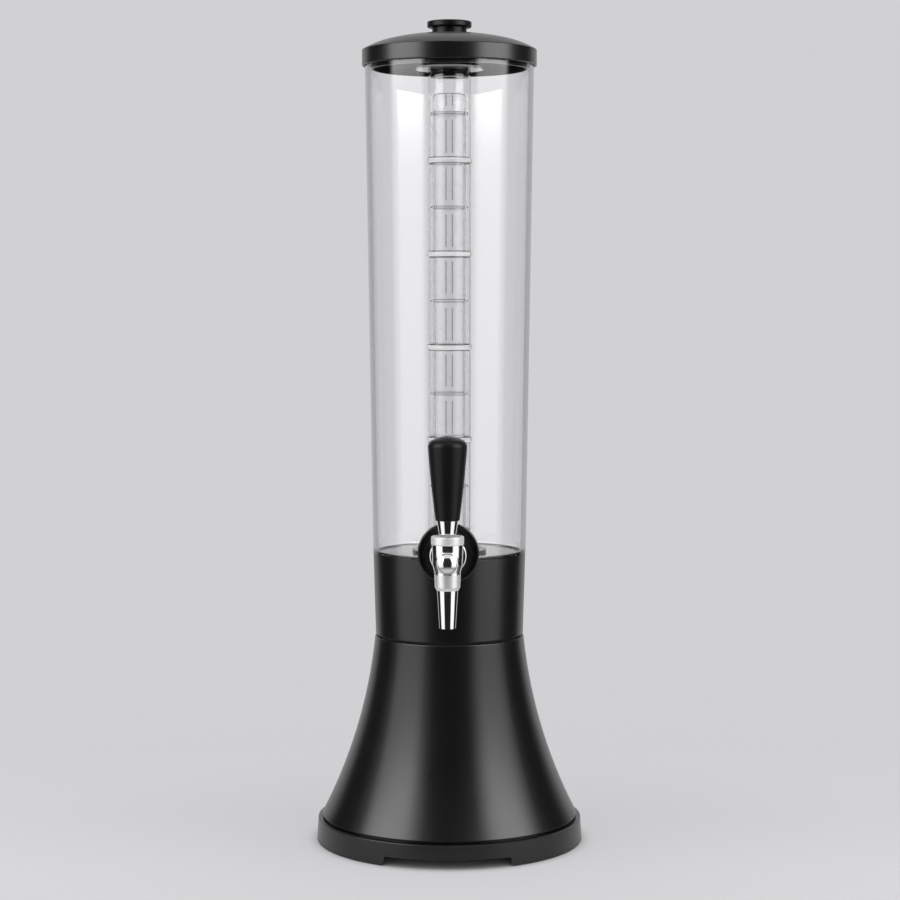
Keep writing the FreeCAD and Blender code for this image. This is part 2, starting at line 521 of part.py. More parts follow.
def rectangle(left, bottom, right, top):
    """The corners of an upright rectangle."""
    return [(left, bottom), (right, bottom), (right, top), (left, top)]


def turned(body, name, corners, axis="V_Axis"):
    """Adds the solid that an outline makes when it turns about the sketch's axis."""
    return revolved(body, name, outline(body, f"{name}_outline", corners), axis)


def revolved(body, name, sketch, axis="V_Axis"):
    """Adds the solid that a sketch makes when it turns about its own axis."""
    feature = body.newObject("PartDesign::Revolution", name)
    feature.Profile = sketch
    feature.ReferenceAxis = (sketch, [axis])
    feature.Angle = 360
    doc.recompute()
    return feature


def turned_cut(body, name, corners, axis="V_Axis"):
    """Cuts away what an outline sweeps when it turns about the sketch's axis."""
    before = body.Shape.Volume
    sketch = outline(body, f"{name}_outline", corners)
    feature = body.newObject("PartDesign::Groove", name)
    feature.Profile = sketch
    feature.ReferenceAxis = (sketch, [axis])
    feature.Angle = 360
    doc.recompute()
    check_cut(body, name, before)
    return feature


def padded(body, name, sketch, length, both_ways=False):
    """Adds a straight solid on a sketch, along its normal or half each way."""
    feature = body.newObject("PartDesign::Pad", name)
    feature.Profile = sketch
    feature.setExpression("Length", linked(length))
    feature.Midplane = both_ways
    doc.recompute()
    return feature


def pocketed(body, name, sketch, length, along_normal=True):
    """Cuts a straight pocket from a sketch, along its normal or against it."""
    before = body.Shape.Volume
    feature = body.newObject("PartDesign::Pocket", name)
    feature.Profile = sketch
    feature.setExpression("Length", linked(length))
    feature.Reversed = along_normal
    doc.recompute()
    check_cut(body, name, before)
    return feature


def check_cut(body, name, before):
    """Stops if a cut that should take material away took none."""
    if body.Shape.Volume >= before:
        raise RuntimeError(f"{body.Label}: {name} cuts nothing")


def repeated_round(body, name, features, count, axis="Z_Axis"):
    """Repeats features evenly about one of the body's axes."""
    pattern = body.newObject("PartDesign::PolarPattern", name)
    pattern.Originals = features
    pattern.Axis = (origin_feature(body, axis), [""])
    pattern.Angle = 360
    pattern.Occurrences = count
    body.Tip = pattern
    doc.recompute()
    return pattern


def repeated_down(body, name, features, count, pitch):
    """Repeats features downwards at a pitch."""
    pattern = body.newObject("PartDesign::LinearPattern", name)
    pattern.Originals = features
    pattern.Direction = (origin_feature(body, "Z_Axis"), [""])
    pattern.Reversed = True
    pattern.setExpression("Length", linked(f"({count} - 1) * {pitch}"))
    pattern.Occurrences = count
    body.Tip = pattern
    doc.recompute()
    return pattern


def rounded(body, name, places, radius):
    """Rounds the ring edges that lie at the places, each (radius, level) in the body's own frame."""
    wanted = [(number(place_radius), number(level)) for place_radius, level in places]
    base = body.Tip
    edges = []
    for index, edge in enumerate(base.Shape.Edges, start=1):
        if not isinstance(edge.Curve, Part.Circle):
            continue
        ring = (edge.Curve.Radius, edge.Curve.Center.z)
        if any(abs(ring[0] - r) < 0.01 and abs(ring[1] - z) < 0.01 for r, z in wanted):
            edges.append(f"Edge{index}")
    if not edges:
        raise RuntimeError(f"{body.Label}: {name} finds no edge")
    feature = body.newObject("PartDesign::Fillet", name)
    feature.Base = (base, edges)
    feature.setExpression("Radius", linked(radius))
    doc.recompute()
    return feature


# ---------------------------------------------------------------- base

def make_foot_ring():
    """Band with a flat top, three arches between its feet, and bosses for the rubber feet."""
    body = new_body("foot_ring")
    turned(body, "band", [
        (FOOT_RADIUS, "foot_clearance"),
        (FOOT_RIM_RADIUS, "foot_height"),
        (FOOT_WEB_BORE, "foot_height"),
        (FOOT_WEB_BORE, FOOT_WEB_UNDERSIDE),
        (f"{FOOT_RIM_RADIUS} - foot_wall", FOOT_WEB_UNDERSIDE),
        (f"{FOOT_RADIUS} - foot_wall", "foot_clearance"),
    ])
    rounded(body, "upper_edge", [(FOOT_RIM_RADIUS, "foot_height")], "foot_edge_round")
    arch = outline(body, "arch_outline", [
        ("-arch_half_width - arch_draft", "0"),
        ("arch_half_width + arch_draft", "0"),
        ("arch_half_width", "arch_height"),
        ("-arch_half_width", "arch_height"),
    ], offset=f"{FOOT_WEB_BORE} - foot_wall")
    arch_cut = pocketed(body, "arch", arch, FOOT_RADIUS)
    repeated_round(body, "arches", [arch_cut], FOOT_COUNT)
    pad_bottom = "(pad_height - pad_recess)"
    bosses = circles(body, "pad_boss_circles", pad_centres(), "pad_radius + pad_gap + pad_boss_wall",
                     offset=pad_bottom)
    boss_pad = padded(body, "pad_bosses", bosses, f"{FOOT_WEB_UNDERSIDE} - {pad_bottom} + foot_web / 2")
    recesses = circles(body, "pad_recess_circles", pad_centres(), "pad_radius + pad_gap", offset=pad_bottom)
    recess_cut = pocketed(body, "pad_recesses", recesses, "pad_recess")
    holes = circles(body, "screw_hole_circles", [("0", BOSS_CIRCLE)], "screw_radius + screw_hole_gap",
                    offset="foot_height")
    hole_cut = pocketed(body, "screw_hole", holes, "foot_web", along_normal=False)
    repeated_round(body, "feet", [boss_pad, recess_cut, hole_cut], FOOT_COUNT)


def pad_centres():
    """Centres of the rear foot's two rubber pads, either side of its middle."""
    back = f"sqrt({PAD_CIRCLE}^2 - pad_spread^2)"
    return [("-pad_spread", back), ("pad_spread", back)]


def make_rubber_feet():
    """Six rubber discs, two in each foot, numbered anticlockwise from the rear."""
    for foot in range(FOOT_COUNT):
        turn = f"{foot} * 360 / {FOOT_COUNT} * 1 deg"
        for side, (across, back) in enumerate(reversed(pad_centres())):
            body = new_body(f"rubber_foot_{2 * foot + side + 1}")
            centre = (f"({across}) * cos({turn}) - {back} * sin({turn})",
                      f"({across}) * sin({turn}) + {back} * cos({turn})")
            sketch = circles(body, "pad_circle", [centre], "pad_radius")
            padded(body, "pad", sketch, "pad_height")


def make_base_screws():
    """Three screws that hold the foot ring to the bell."""
    body = new_body("base_screws")
    head_circle = circles(body, "head_circle", [("0", BOSS_CIRCLE)], "screw_head_radius",
                          offset=f"{FOOT_WEB_UNDERSIDE} - screw_head_height")
    head = padded(body, "head", head_circle, "screw_head_height")
    shank_circle = circles(body, "shank_circle", [("0", BOSS_CIRCLE)], "screw_radius",
                           offset=FOOT_WEB_UNDERSIDE)
    shank = padded(body, "shank", shank_circle, "foot_web + screw_bite")
    repeated_round(body, "screws", [head, shank], FOOT_COUNT)


def make_base_shell():
    """Flared bell with a deck on top, gussets under the deck and screw bosses near its foot."""
    body = new_body("base_shell")
    lip_top = (f"({BELL_CENTRE_LEVEL} - sqrt((bell_curve_radius + bell_wall)^2"
               f" - ({BELL_CENTRE_RADIUS} - {BELL_LIP_BORE})^2))")
    turned(body, "bell", [
        ("bell_foot_radius", "bell_foot_level"),
        ("bell_top_radius", "bell_top", "-bell_curve_radius"),
        ("hub_radius + hub_gap", "bell_top"),
        ("hub_radius + hub_gap", DECK_UNDERSIDE),
        (bell_radius(DECK_UNDERSIDE, "bell_wall"), DECK_UNDERSIDE),
        (BELL_LIP_BORE, lip_top, "(bell_curve_radius + bell_wall)"),
        (BELL_LIP_BORE, "foot_height"),
        (BELL_LIP_RADIUS, "foot_height"),
        (BELL_LIP_RADIUS, "bell_foot_level"),
    ])
    rounded(body, "deck_edge", [("bell_top_radius", "bell_top")], "bell_top_round")
    rounded(body, "foot_edge", [("bell_foot_radius", "bell_foot_level")], "bell_foot_round")
    inside_deck = f"({DECK_UNDERSIDE} + deck_thickness / 2)"
    gusset_bottom = f"({DECK_UNDERSIDE} - gusset_height)"
    gusset_outline = outline(body, "gusset_outline", [
        (f"{LUG_REACH} + gusset_room", inside_deck),
        (bell_radius(inside_deck, "bell_wall / 2"), inside_deck),
        (bell_radius(gusset_bottom, "bell_wall / 2"), gusset_bottom),
        (f"{LUG_REACH} + gusset_room", DECK_UNDERSIDE),
    ], plane="YZ_Plane")
    gusset = padded(body, "gusset", gusset_outline, "gusset_thickness", both_ways=True)
    repeated_round(body, "gussets", [gusset], GUSSET_COUNT)
    boss_circle = circles(body, "boss_circle", [("0", BOSS_CIRCLE)], "boss_radius",
                          offset="foot_height")
    boss = padded(body, "boss", boss_circle, "boss_height")
    pilot_circle = circles(body, "pilot_circle", [("0", BOSS_CIRCLE)], "screw_radius + screw_gap",
                           offset="foot_height")
    pilot = pocketed(body, "pilot_hole", pilot_circle, "screw_bite + screw_radius")
    repeated_round(body, "bosses", [boss, pilot], FOOT_COUNT)


# ---------------------------------------------------------------- collar and its fixing

def make_deck_gasket():
    """Flat rubber ring that leaves a dark seam between deck and collar."""
    body = new_body("deck_gasket")
    turned(body, "ring", rectangle(
        "hub_radius + hub_gap", "bell_top", "collar_bottom_radius - seam_inset", COLLAR_BOTTOM))


def make_collar():
    """Black cup that carries the container, with a threaded hub through the deck."""
    body = new_body("collar")
    turned(body, "cup", [
        ("collar_bottom_radius", COLLAR_BOTTOM),
        (COLLAR_TOP_RADIUS, COLLAR_TOP),
        (f"{COLLAR_TOP_RADIUS} - collar_wall", COLLAR_TOP),
        ("collar_bottom_radius - collar_wall", f"{COLLAR_BOTTOM} + collar_web"),
        ("hub_bore", f"{COLLAR_BOTTOM} + collar_web"),
        ("hub_bore", HUB_END),
        ("hub_radius", HUB_END),
        ("hub_radius", COLLAR_BOTTOM),
    ])
    rounded(body, "edges", [("collar_bottom_radius", COLLAR_BOTTOM), (COLLAR_TOP_RADIUS, COLLAR_TOP)],
            "collar_edge_round")
    notch = circles(body, "notch_circle", [("0", TAP_LEVEL)], SHANK_HOLE, plane="XZ_Plane",
                    offset="collar_bottom_radius - 2 * collar_wall")
    pocketed(body, "shank_notch", notch, "4 * collar_wall")


def make_tower_washer():
    """Plain washer between the deck and the tower nut."""
    body = new_body("tower_washer")
    turned(body, "ring", rectangle(
        "hub_radius + hub_gap", f"{DECK_UNDERSIDE} - washer_thickness", "washer_radius", DECK_UNDERSIDE))


def make_tower_nut():
    """Flanged ring nut with finger lugs, screwed on the collar's hub from below."""
    body = new_body("tower_nut")
    top = f"({DECK_UNDERSIDE} - washer_thickness)"
    bottom = f"({top} - tower_nut_height)"
    bore = "hub_radius + screw_gap"
    turned(body, "ring", [
        (bore, bottom),
        ("tower_nut_radius", bottom),
        ("tower_nut_radius", f"{top} - tower_nut_flange"),
        ("washer_radius", f"{top} - tower_nut_flange"),
        ("washer_radius", top),
        (bore, top),
    ])
    lug_outline = outline(body, "lug_outline", rectangle(
        "-lug_width / 2", "tower_nut_radius - lug_width / 2", "lug_width / 2", LUG_REACH),
        plane="XY_Plane", offset=bottom)
    lug = padded(body, "lug", lug_outline, "tower_nut_height - tower_nut_flange")
    repeated_round(body, "lugs", [lug], FINGER_LUG_COUNT)


# ---------------------------------------------------------------- container

def make_container():
    """Clear tapered container with a floor, a spigot below it and a flat pad for the tap's nut."""
    body = new_body("container")
    inner_base = "container_base_radius - container_wall"
    spigot_bore = f"{SPIGOT_RADIUS} - spigot_wall"
    turned(body, "vessel", [
        (SPIGOT_RADIUS, SPIGOT_END),
        (SPIGOT_RADIUS, COLLAR_TOP),
        ("container_base_radius", COLLAR_TOP),
        ("container_rim_radius", RIM_LEVEL),
        ("container_rim_radius - container_wall", RIM_LEVEL),
        (inner_base, f"{COLLAR_TOP} + container_floor_round"),
        (f"{inner_base} - container_floor_round", COLLAR_TOP, "-container_floor_round"),
        ("0", COLLAR_TOP),
        ("0", FLOOR_UNDERSIDE),
        (spigot_bore, FLOOR_UNDERSIDE),
        (spigot_bore, SPIGOT_END),
    ])
    rounded(body, "rim", [
        ("container_rim_radius", RIM_LEVEL),
        ("container_rim_radius - container_wall", RIM_LEVEL),
    ], "container_rim_round")
    pad_circle = circles(body, "pad_circle", [("0", TAP_LEVEL)], BOSS_PAD_RADIUS, plane="XZ_Plane",
                         offset=PAD_FACE)
    padded(body, "nut_pad", pad_circle, "boss_pad_depth")
    pocket_half = f"({BOSS_PAD_RADIUS} + nut_pocket_gap)"
    pocket_floor = f"({TAP_LEVEL} - {BOSS_PAD_RADIUS})"
    pocket_back = f"(nut_pocket_depth - {PAD_FACE})"
    tub_half = f"({pocket_half} + nut_pocket_wall)"
    tub_outline = outline(body, "tub_outline", rectangle(
        f"-{tub_half}", f"-{PAD_FACE} - nut_pocket_wall", tub_half, f"{pocket_back} + nut_pocket_wall"),
        plane="XY_Plane", offset=f"{pocket_floor} - nut_pocket_wall")
    padded(body, "pocket_tub", tub_outline, f"{COLLAR_TOP} - {pocket_floor}")
    pocket_outline = outline(body, "pocket_outline", rectangle(
        f"-{pocket_half}", f"-{PAD_FACE}", pocket_half, pocket_back),
        plane="XY_Plane", offset=pocket_floor)
    pocketed(body, "nut_pocket", pocket_outline, f"{COLLAR_TOP} - {pocket_floor}")
    beyond = "(container_base_radius + container_wall)"
    turned_cut(body, "outside_of_spigot", rectangle(
        SPIGOT_RADIUS, f"{SPIGOT_END} - spigot_height", beyond, COLLAR_TOP))
    hole = circles(body, "shank_hole_circle", [("0", TAP_LEVEL)], SHANK_HOLE, plane="XZ_Plane",
                   offset=f"{PAD_FACE} - container_wall")
    pocketed(body, "shank_hole", hole, "2 * (container_wall + boss_pad_depth)")
    groove_bottom = f"({SPIGOT_END} + ring_rise)"
    turned_cut(body, "ring_groove", rectangle(
        f"{SPIGOT_RADIUS} - ring_section", groove_bottom, beyond, f"{groove_bottom} + ring_groove_width"))


def make_container_ring():
    """Sealing ring in the groove of the container's spigot."""
    body = new_body("container_ring")
    middle = f"({SPIGOT_END} + ring_rise + ring_groove_width / 2)"
    section = circles(body, "section", [(f"{SPIGOT_RADIUS} + fit_gap - ring_section / 2", middle)],
                      "ring_section / 2", plane="XZ_Plane")
    revolved(body, "ring", section)


def make_tube_seat():
    """Black disc with a cup that steadies the ice tube's lower end."""
    body = new_body("tube_seat")
    disc_top = f"({COLLAR_TOP} + seat_thickness)"
    cup_bore = "tube_radius + seat_cup_gap"
    turned(body, "seat", [
        ("0", COLLAR_TOP),
        ("seat_radius", COLLAR_TOP),
        ("seat_radius", disc_top),
        (f"{cup_bore} + seat_cup_wall", disc_top),
        (f"{cup_bore} + seat_cup_wall", f"{disc_top} + seat_cup_height"),
        (cup_bore, f"{disc_top} + seat_cup_height"),
        (cup_bore, disc_top),
        ("0", disc_top),
    ])


# ---------------------------------------------------------------- shank and its seals

def container_cone(body, name, depth, reach=None):
    """Cuts a body to the container's cone: all inside it, or from it out to reach."""
    half = "(2 * escutcheon_radius)"
    low = f"{container_radius(f'({TAP_LEVEL} - {half})')} + {depth}"
    high = f"{container_radius(f'({TAP_LEVEL} + {half})')} + {depth}"
    edge = reach or "0"
    turned_cut(body, name, [(edge, f"-{half}"), (low, f"-{half}"), (high, half), (edge, half)])


def make_tap_gasket():
    """Thin rubber saddle between the container and the escutcheon."""
    body = new_body("tap_gasket", level=TAP_LEVEL, faces_front=True)
    back = f"{CONTAINER_FRONT} - container_wall - boss_pad_depth"
    turned(body, "disc", rectangle(
        back, SHANK_HOLE, ESCUTCHEON_FACE, "escutcheon_radius - outer_gasket_inset"), axis="H_Axis")
    container_cone(body, "inner_cone", "fit_gap")
    container_cone(body, "outer_cone", "fit_gap + outer_gasket_thickness", reach=f"2 * {ESCUTCHEON_FACE}")


def make_escutcheon():
    """Round black escutcheon with a raised middle, a groove and a rounded rim, saddle-backed."""
    body = new_body("tap_escutcheon", level=TAP_LEVEL, faces_front=True)
    valley = f"({ESCUTCHEON_FACE} - escutcheon_valley_drop)"
    rim = f"({ESCUTCHEON_FACE} - escutcheon_rim_drop)"
    back = f"{CONTAINER_FRONT} - container_wall - boss_pad_depth"
    turned(body, "disc", [
        (back, SHANK_HOLE),
        (ESCUTCHEON_FACE, SHANK_HOLE),
        (ESCUTCHEON_FACE, "escutcheon_plateau_radius"),
        (valley, "escutcheon_plateau_radius + escutcheon_slope"),
        (valley, "escutcheon_valley_radius"),
        (rim, "escutcheon_valley_radius + escutcheon_slope"),
        (rim, "escutcheon_radius - escutcheon_round"),
        (f"{rim} - escutcheon_round", "escutcheon_radius", "escutcheon_round"),
        (back, "escutcheon_radius"),
    ], axis="H_Axis")
    container_cone(body, "saddle", "2 * fit_gap + outer_gasket_thickness")


def make_shank():
    """Threaded tube through the container's wall, with a flange and a threaded nose in front."""
    body = new_body("tap_shank", level=TAP_LEVEL, faces_front=True)
    tail = f"({SHANK_NUT_BACK} - shank_tail)"
    turned(body, "tube", [
        (tail, "shank_bore"),
        (SHANK_NOSE, "shank_bore"),
        (SHANK_NOSE, "coupling_thread_radius"),
        (SHANK_FLANGE_FACE, "coupling_thread_radius"),
        (SHANK_FLANGE_FACE, "shank_flange_radius"),
        (ESCUTCHEON_FACE, "shank_flange_radius"),
        (ESCUTCHEON_FACE, "shank_radius"),
        (tail, "shank_radius"),
    ], axis="H_Axis")


def make_shank_washer():
    """Rubber washer on the flat pad inside the container."""
    body = new_body("shank_washer", level=TAP_LEVEL, faces_front=True)
    turned(body, "ring", rectangle(
        SHANK_NUT_FRONT, "shank_radius + screw_gap", PAD_FACE, "shank_radius + inner_washer_width"),
        axis="H_Axis")


def make_shank_nut():
    """Hexagon nut that clamps the shank from inside the container."""
    body = new_body("shank_nut", level=TAP_LEVEL, faces_front=True)
    corners = []
    for turn in range(6):
        angle = f"{30 + 60 * turn} deg"
        corners.append((f"{SHANK_NUT_CORNER} * cos({angle})", f"{SHANK_NUT_CORNER} * sin({angle})"))
    sketch = outline(body, "hexagon", corners, plane="YZ_Plane", offset=SHANK_NUT_BACK)
    padded(body, "nut", sketch, "shank_nut_height")
    bore = circles(body, "bore_circle", [("0", "0")], "shank_radius + screw_gap", plane="YZ_Plane",
                   offset=SHANK_NUT_BACK)
    pocketed(body, "bore", bore, "shank_nut_height")


def make_coupling_washer():
    """Flat washer between the shank's nose and the tap's body."""
    body = new_body("coupling_washer", level=TAP_LEVEL, faces_front=True)
    turned(body, "ring", rectangle(
        SHANK_NOSE, "coupling_washer_bore", TAP_REAR, BODY_FLANGE_RADIUS), axis="H_Axis")


def make_coupling_nut():
    """Chrome ring nut that pulls the tap's rear flange onto the shank."""
    body = new_body("tap_coupling_nut", level=TAP_LEVEL, faces_front=True)
    radius = f"({COUPLING_BORE} + coupling_wall)"
    rear = f"({SHANK_FLANGE_FACE} + coupling_gap)"
    lip_back = f"({TAP_REAR} + body_flange_length + coupling_gap)"
    front = f"({lip_back} + coupling_lip)"
    turned(body, "nut", [
        (rear, COUPLING_BORE),
        (lip_back, COUPLING_BORE),
        (lip_back, "body_barrel_radius + coupling_gap"),
        (front, "body_barrel_radius + coupling_gap"),
        (front, f"{radius} - coupling_round"),
        (f"{front} - coupling_round", radius, "coupling_round"),
        (f"{rear} + coupling_round", radius),
        (rear, f"{radius} - coupling_round", "coupling_round"),
    ], axis="H_Axis")
    hole = circles(body, "spanner_circle", [(f"({rear} + {front}) / 2", "0")], "spanner_hole_radius",
                   offset="coupling_thread_radius / 2")
    cut = pocketed(body, "spanner_hole", hole, radius)
    repeated_round(body, "spanner_holes", [cut], SPANNER_HOLE_COUNT, axis="X_Axis")


# ---------------------------------------------------------------- tap

SEAL_FRONT = "(-seat_distance - seal_gap)"
SEAL_BACK = f"({SEAL_FRONT} - seal_thickness)"
SEAL_RADIUS = "(throat_radius + seal_overlap)"
BLOCK_RADIUS = "(tip_radius + plunger_slot_gap + plunger_cheek)"
SOCKET_RADIUS = "(ball_radius + ball_gap + bonnet_skirt_wall + fit_gap)"


def tap_body(label):
    """A body whose origin is the crossing of the tap's upright and level axes."""
    return new_body(label, forward=TAP_REACH, level=TAP_LEVEL, faces_front=True)


def make_tap_body():
    """Chrome body: upright part, rear barrel with a flange, domed front barrel, bored for the valve."""
    body = tap_body("tap_body")
    turned(body, "upright", [
        ("0", "-body_end_level"),
        ("body_end_radius", "-body_end_level"),
        ("body_foot_radius", "-body_foot_level"),
        ("body_neck_radius", "-body_neck_level"),
        ("body_waist_radius", "-body_waist_level"),
        ("body_top_radius", "body_top"),
        ("0", "body_top"),
    ])
    rounded(body, "shoulders", [
        ("body_foot_radius", "-body_foot_level"),
        ("body_waist_radius", "-body_waist_level"),
    ], "body_soften")
    turned(body, "barrels", [
        ("-body_rear", "0"),
        (NOSE_END, "0"),
        ("nose_length + nose_round", "nose_radius - nose_round", "nose_dome_radius"),
        ("nose_length", "nose_radius", "nose_round"),
        ("0", "nose_radius"),
        ("0", "body_barrel_radius"),
        ("body_flange_length - body_rear", "body_barrel_radius"),
        ("body_flange_length - body_rear", BODY_FLANGE_RADIUS),
        ("-body_rear", BODY_FLANGE_RADIUS),
    ], axis="H_Axis")
    chamber_rear = "throat_length - seat_distance"
    turned_cut(body, "valve_bore", [
        ("-body_rear", "0"),
        ("chamber_front + guide_depth", "0"),
        ("chamber_front + guide_depth", "plunger_radius + guide_gap"),
        ("chamber_front", "plunger_radius + guide_gap"),
        ("chamber_front", f"{BLOCK_RADIUS} + chamber_room"),
        (chamber_rear, f"{BLOCK_RADIUS} + chamber_room"),
        (chamber_rear, "throat_radius"),
        ("-seat_distance", "throat_radius"),
        ("-seat_distance", f"{SEAL_RADIUS} + seal_room"),
        ("-body_rear", f"{SEAL_RADIUS} + seal_room"),
    ], axis="H_Axis")
    socket_floor = "(body_top - socket_depth)"
    cavity = "(ball_radius + ball_gap)"
    cavity_edge = f"sqrt({cavity}^2 - (pivot_rise - {socket_floor})^2)"
    turned_cut(body, "lever_socket", [
        ("0", f"pivot_rise - {cavity}"),
        (cavity_edge, socket_floor, cavity),
        (SOCKET_RADIUS, socket_floor),
        (SOCKET_RADIUS, "body_top"),
        ("0", "body_top"),
    ])
    turned_cut(body, "outlet", [
        ("0", "-body_end_level"),
        ("spout_stem_radius", "-body_end_level"),
        ("spout_stem_radius", "spout_stem_length - body_end_level"),
        ("spout_bore", "spout_stem_length - body_end_level"),
        ("spout_bore", "0"),
        ("0", "0"),
    ])


def make_spout():
    """Tapered spout with a stem pressed into the body's outlet."""
    body = tap_body("tap_spout")
    tip = "(-body_end_level - spout_length)"
    stem_top = "(spout_stem_length - body_end_level - fit_gap)"
    turned(body, "tube", [
        ("spout_mouth_bore", tip),
        ("spout_tip_radius", tip),
        ("spout_root_radius", "-body_end_level"),
        ("spout_stem_radius - stem_gap", "-body_end_level"),
        ("spout_stem_radius - stem_gap", stem_top),
        ("spout_bore", stem_top),
        ("spout_bore", f"{tip} + spout_mouth_depth"),
        ("spout_mouth_bore", f"{tip} + spout_mouth_depth"),
    ])


def make_plunger():
    """Steel rod that slides in the body, with a slotted block for the lever's tip."""
    body = tap_body("valve_plunger")
    turned(body, "rod", [
        (f"{SEAL_BACK} - plunger_nut_length", "0"),
        ("plunger_front", "0"),
        ("plunger_front", "plunger_radius"),
        ("plunger_block_half", "plunger_radius"),
        ("plunger_block_half", BLOCK_RADIUS),
        ("-plunger_block_half", BLOCK_RADIUS),
        ("-plunger_block_half", "plunger_radius"),
        (f"{SEAL_FRONT} + plunger_shoulder_length", "plunger_radius"),
        (f"{SEAL_FRONT} + plunger_shoulder_length", "plunger_shoulder_radius"),
        (SEAL_FRONT, "plunger_shoulder_radius"),
        (SEAL_FRONT, "plunger_radius"),
        (f"{SEAL_BACK} - plunger_nut_length", "plunger_radius"),
    ], axis="H_Axis")
    flat = outline(body, "flat_outline", rectangle(
        "-2 * plunger_block_half", f"-{BLOCK_RADIUS}", "2 * plunger_block_half", BLOCK_RADIUS),
        plane="XY_Plane", offset="plunger_radius")
    slot_half = "(tip_radius + plunger_slot_gap)"
    pocketed(body, "block_flat", flat, BLOCK_RADIUS)
    slot = outline(body, "slot_outline", rectangle(
        "-tip_radius - plunger_slot_play", f"-{slot_half}", "tip_radius + plunger_slot_play", slot_half),
        plane="XY_Plane", offset=f"-{BLOCK_RADIUS}")
    pocketed(body, "slot", slot, f"2 * {BLOCK_RADIUS}")


def make_valve_seal():
    """Rubber washer that closes the valve seat from behind."""
    body = tap_body("valve_seal")
    turned(body, "ring", rectangle(
        SEAL_BACK, "plunger_radius + guide_gap", SEAL_FRONT, SEAL_RADIUS), axis="H_Axis")


def make_plunger_nut():
    """Nut on the rod's rear end that holds the valve seal."""
    body = tap_body("plunger_nut")
    turned(body, "ring", rectangle(
        f"{SEAL_BACK} - plunger_nut_length", "plunger_radius + guide_gap", SEAL_BACK, "plunger_nut_radius"),
        axis="H_Axis")


FERRULE_BOTTOM = "(pivot_rise + ball_radius)"
HANDLE_BOTTOM = f"({FERRULE_BOTTOM} + ferrule_height)"
STEM_HOLE = "(stem_radius + stem_gap)"


def make_lever():
    """Steel lever: threaded stem, ball, and the round tip that moves the plunger."""
    body = tap_body("tap_lever")
    underside = "(pivot_rise - ball_cut)"
    turned(body, "lever", [
        ("0", "-tip_radius"),
        ("tip_neck_radius", "sqrt(tip_radius^2 - tip_neck_radius^2)", "tip_radius"),
        ("tip_neck_radius", "tip_neck_length"),
        ("stem_radius", f"{underside} - stem_radius / 2"),
        ("stem_radius", underside),
        ("sqrt(ball_radius^2 - ball_cut^2)", underside),
        ("lever_collar_radius", "pivot_rise + sqrt(ball_radius^2 - lever_collar_radius^2)", "ball_radius"),
        ("lever_collar_radius", FERRULE_BOTTOM),
        ("stem_radius", FERRULE_BOTTOM),
        ("stem_radius", f"{HANDLE_BOTTOM} + stem_bite"),
        ("0", f"{HANDLE_BOTTOM} + stem_bite"),
    ])


def make_lever_bearing():
    """Plastic ring under the bonnet that the lever's ball runs in."""
    body = tap_body("lever_bearing")
    floor = "(body_top - socket_depth)"
    turned(body, "ring", rectangle(
        "ball_radius", floor, f"{SOCKET_RADIUS} - fit_gap", f"{floor} + bearing_height"))


def make_bonnet():
    """Satin ring nut, screwed into the body's top, whose lip holds the lever's ball."""
    body = tap_body("tap_bonnet")
    skirt_bottom = "(body_top - socket_depth + bearing_height + fit_gap)"
    lip = "(body_top + bonnet_lip_level)"
    lip_bore = f"sqrt(ball_radius^2 - ({lip} - pivot_rise)^2) + bonnet_lip_gap"
    skirt_bore = "ball_radius + ball_gap"
    rim = "body_top + bonnet_height"
    radius = "(body_top_radius + bonnet_step)"
    turned(body, "ring", [
        (skirt_bore, skirt_bottom),
        (f"{SOCKET_RADIUS} - fit_gap", skirt_bottom),
        (f"{SOCKET_RADIUS} - fit_gap", "body_top"),
        (radius, "body_top"),
        (radius, rim),
        (f"{radius} - bonnet_wall + bonnet_flare", rim),
        (f"{radius} - bonnet_wall", lip),
        (lip_bore, lip),
        (skirt_bore, f"{lip} - bonnet_lip_drop"),
    ])
    rounded(body, "outer_edges", [(radius, "body_top"), (radius, rim)], "bonnet_round")


def make_ferrule():
    """Chrome cone between the lever's collar and the handle."""
    body = tap_body("tap_ferrule")
    turned(body, "cone", [
        (STEM_HOLE, FERRULE_BOTTOM),
        ("ferrule_bottom_radius", FERRULE_BOTTOM),
        ("ferrule_top_radius", HANDLE_BOTTOM),
        (STEM_HOLE, HANDLE_BOTTOM),
    ])


def make_handle():
    """Black handle, wider towards its domed top, with a hole for the lever's stem."""
    body = tap_body("tap_handle")
    side_top = f"({HANDLE_BOTTOM} + handle_side_height)"
    crown = f"({side_top} + handle_shoulder_rise)"
    crown_rise = "(handle_crown_curve - sqrt(handle_crown_curve^2 - handle_shoulder_radius^2))"
    hole_top = f"({HANDLE_BOTTOM} + stem_bite + stem_hole_spare)"
    turned(body, "handle", [
        (STEM_HOLE, HANDLE_BOTTOM),
        ("handle_bottom_radius - handle_bottom_round", HANDLE_BOTTOM),
        ("handle_bottom_radius", f"{HANDLE_BOTTOM} + handle_bottom_round", "handle_bottom_round"),
        ("handle_top_radius", side_top, "handle_side_curve"),
        ("handle_shoulder_radius", crown, "handle_shoulder_curve"),
        ("0", f"{crown} + {crown_rise}", "handle_crown_curve"),
        ("0", hole_top),
        (STEM_HOLE, hole_top),
    ])


# ---------------------------------------------------------------- ice tube and cold pack

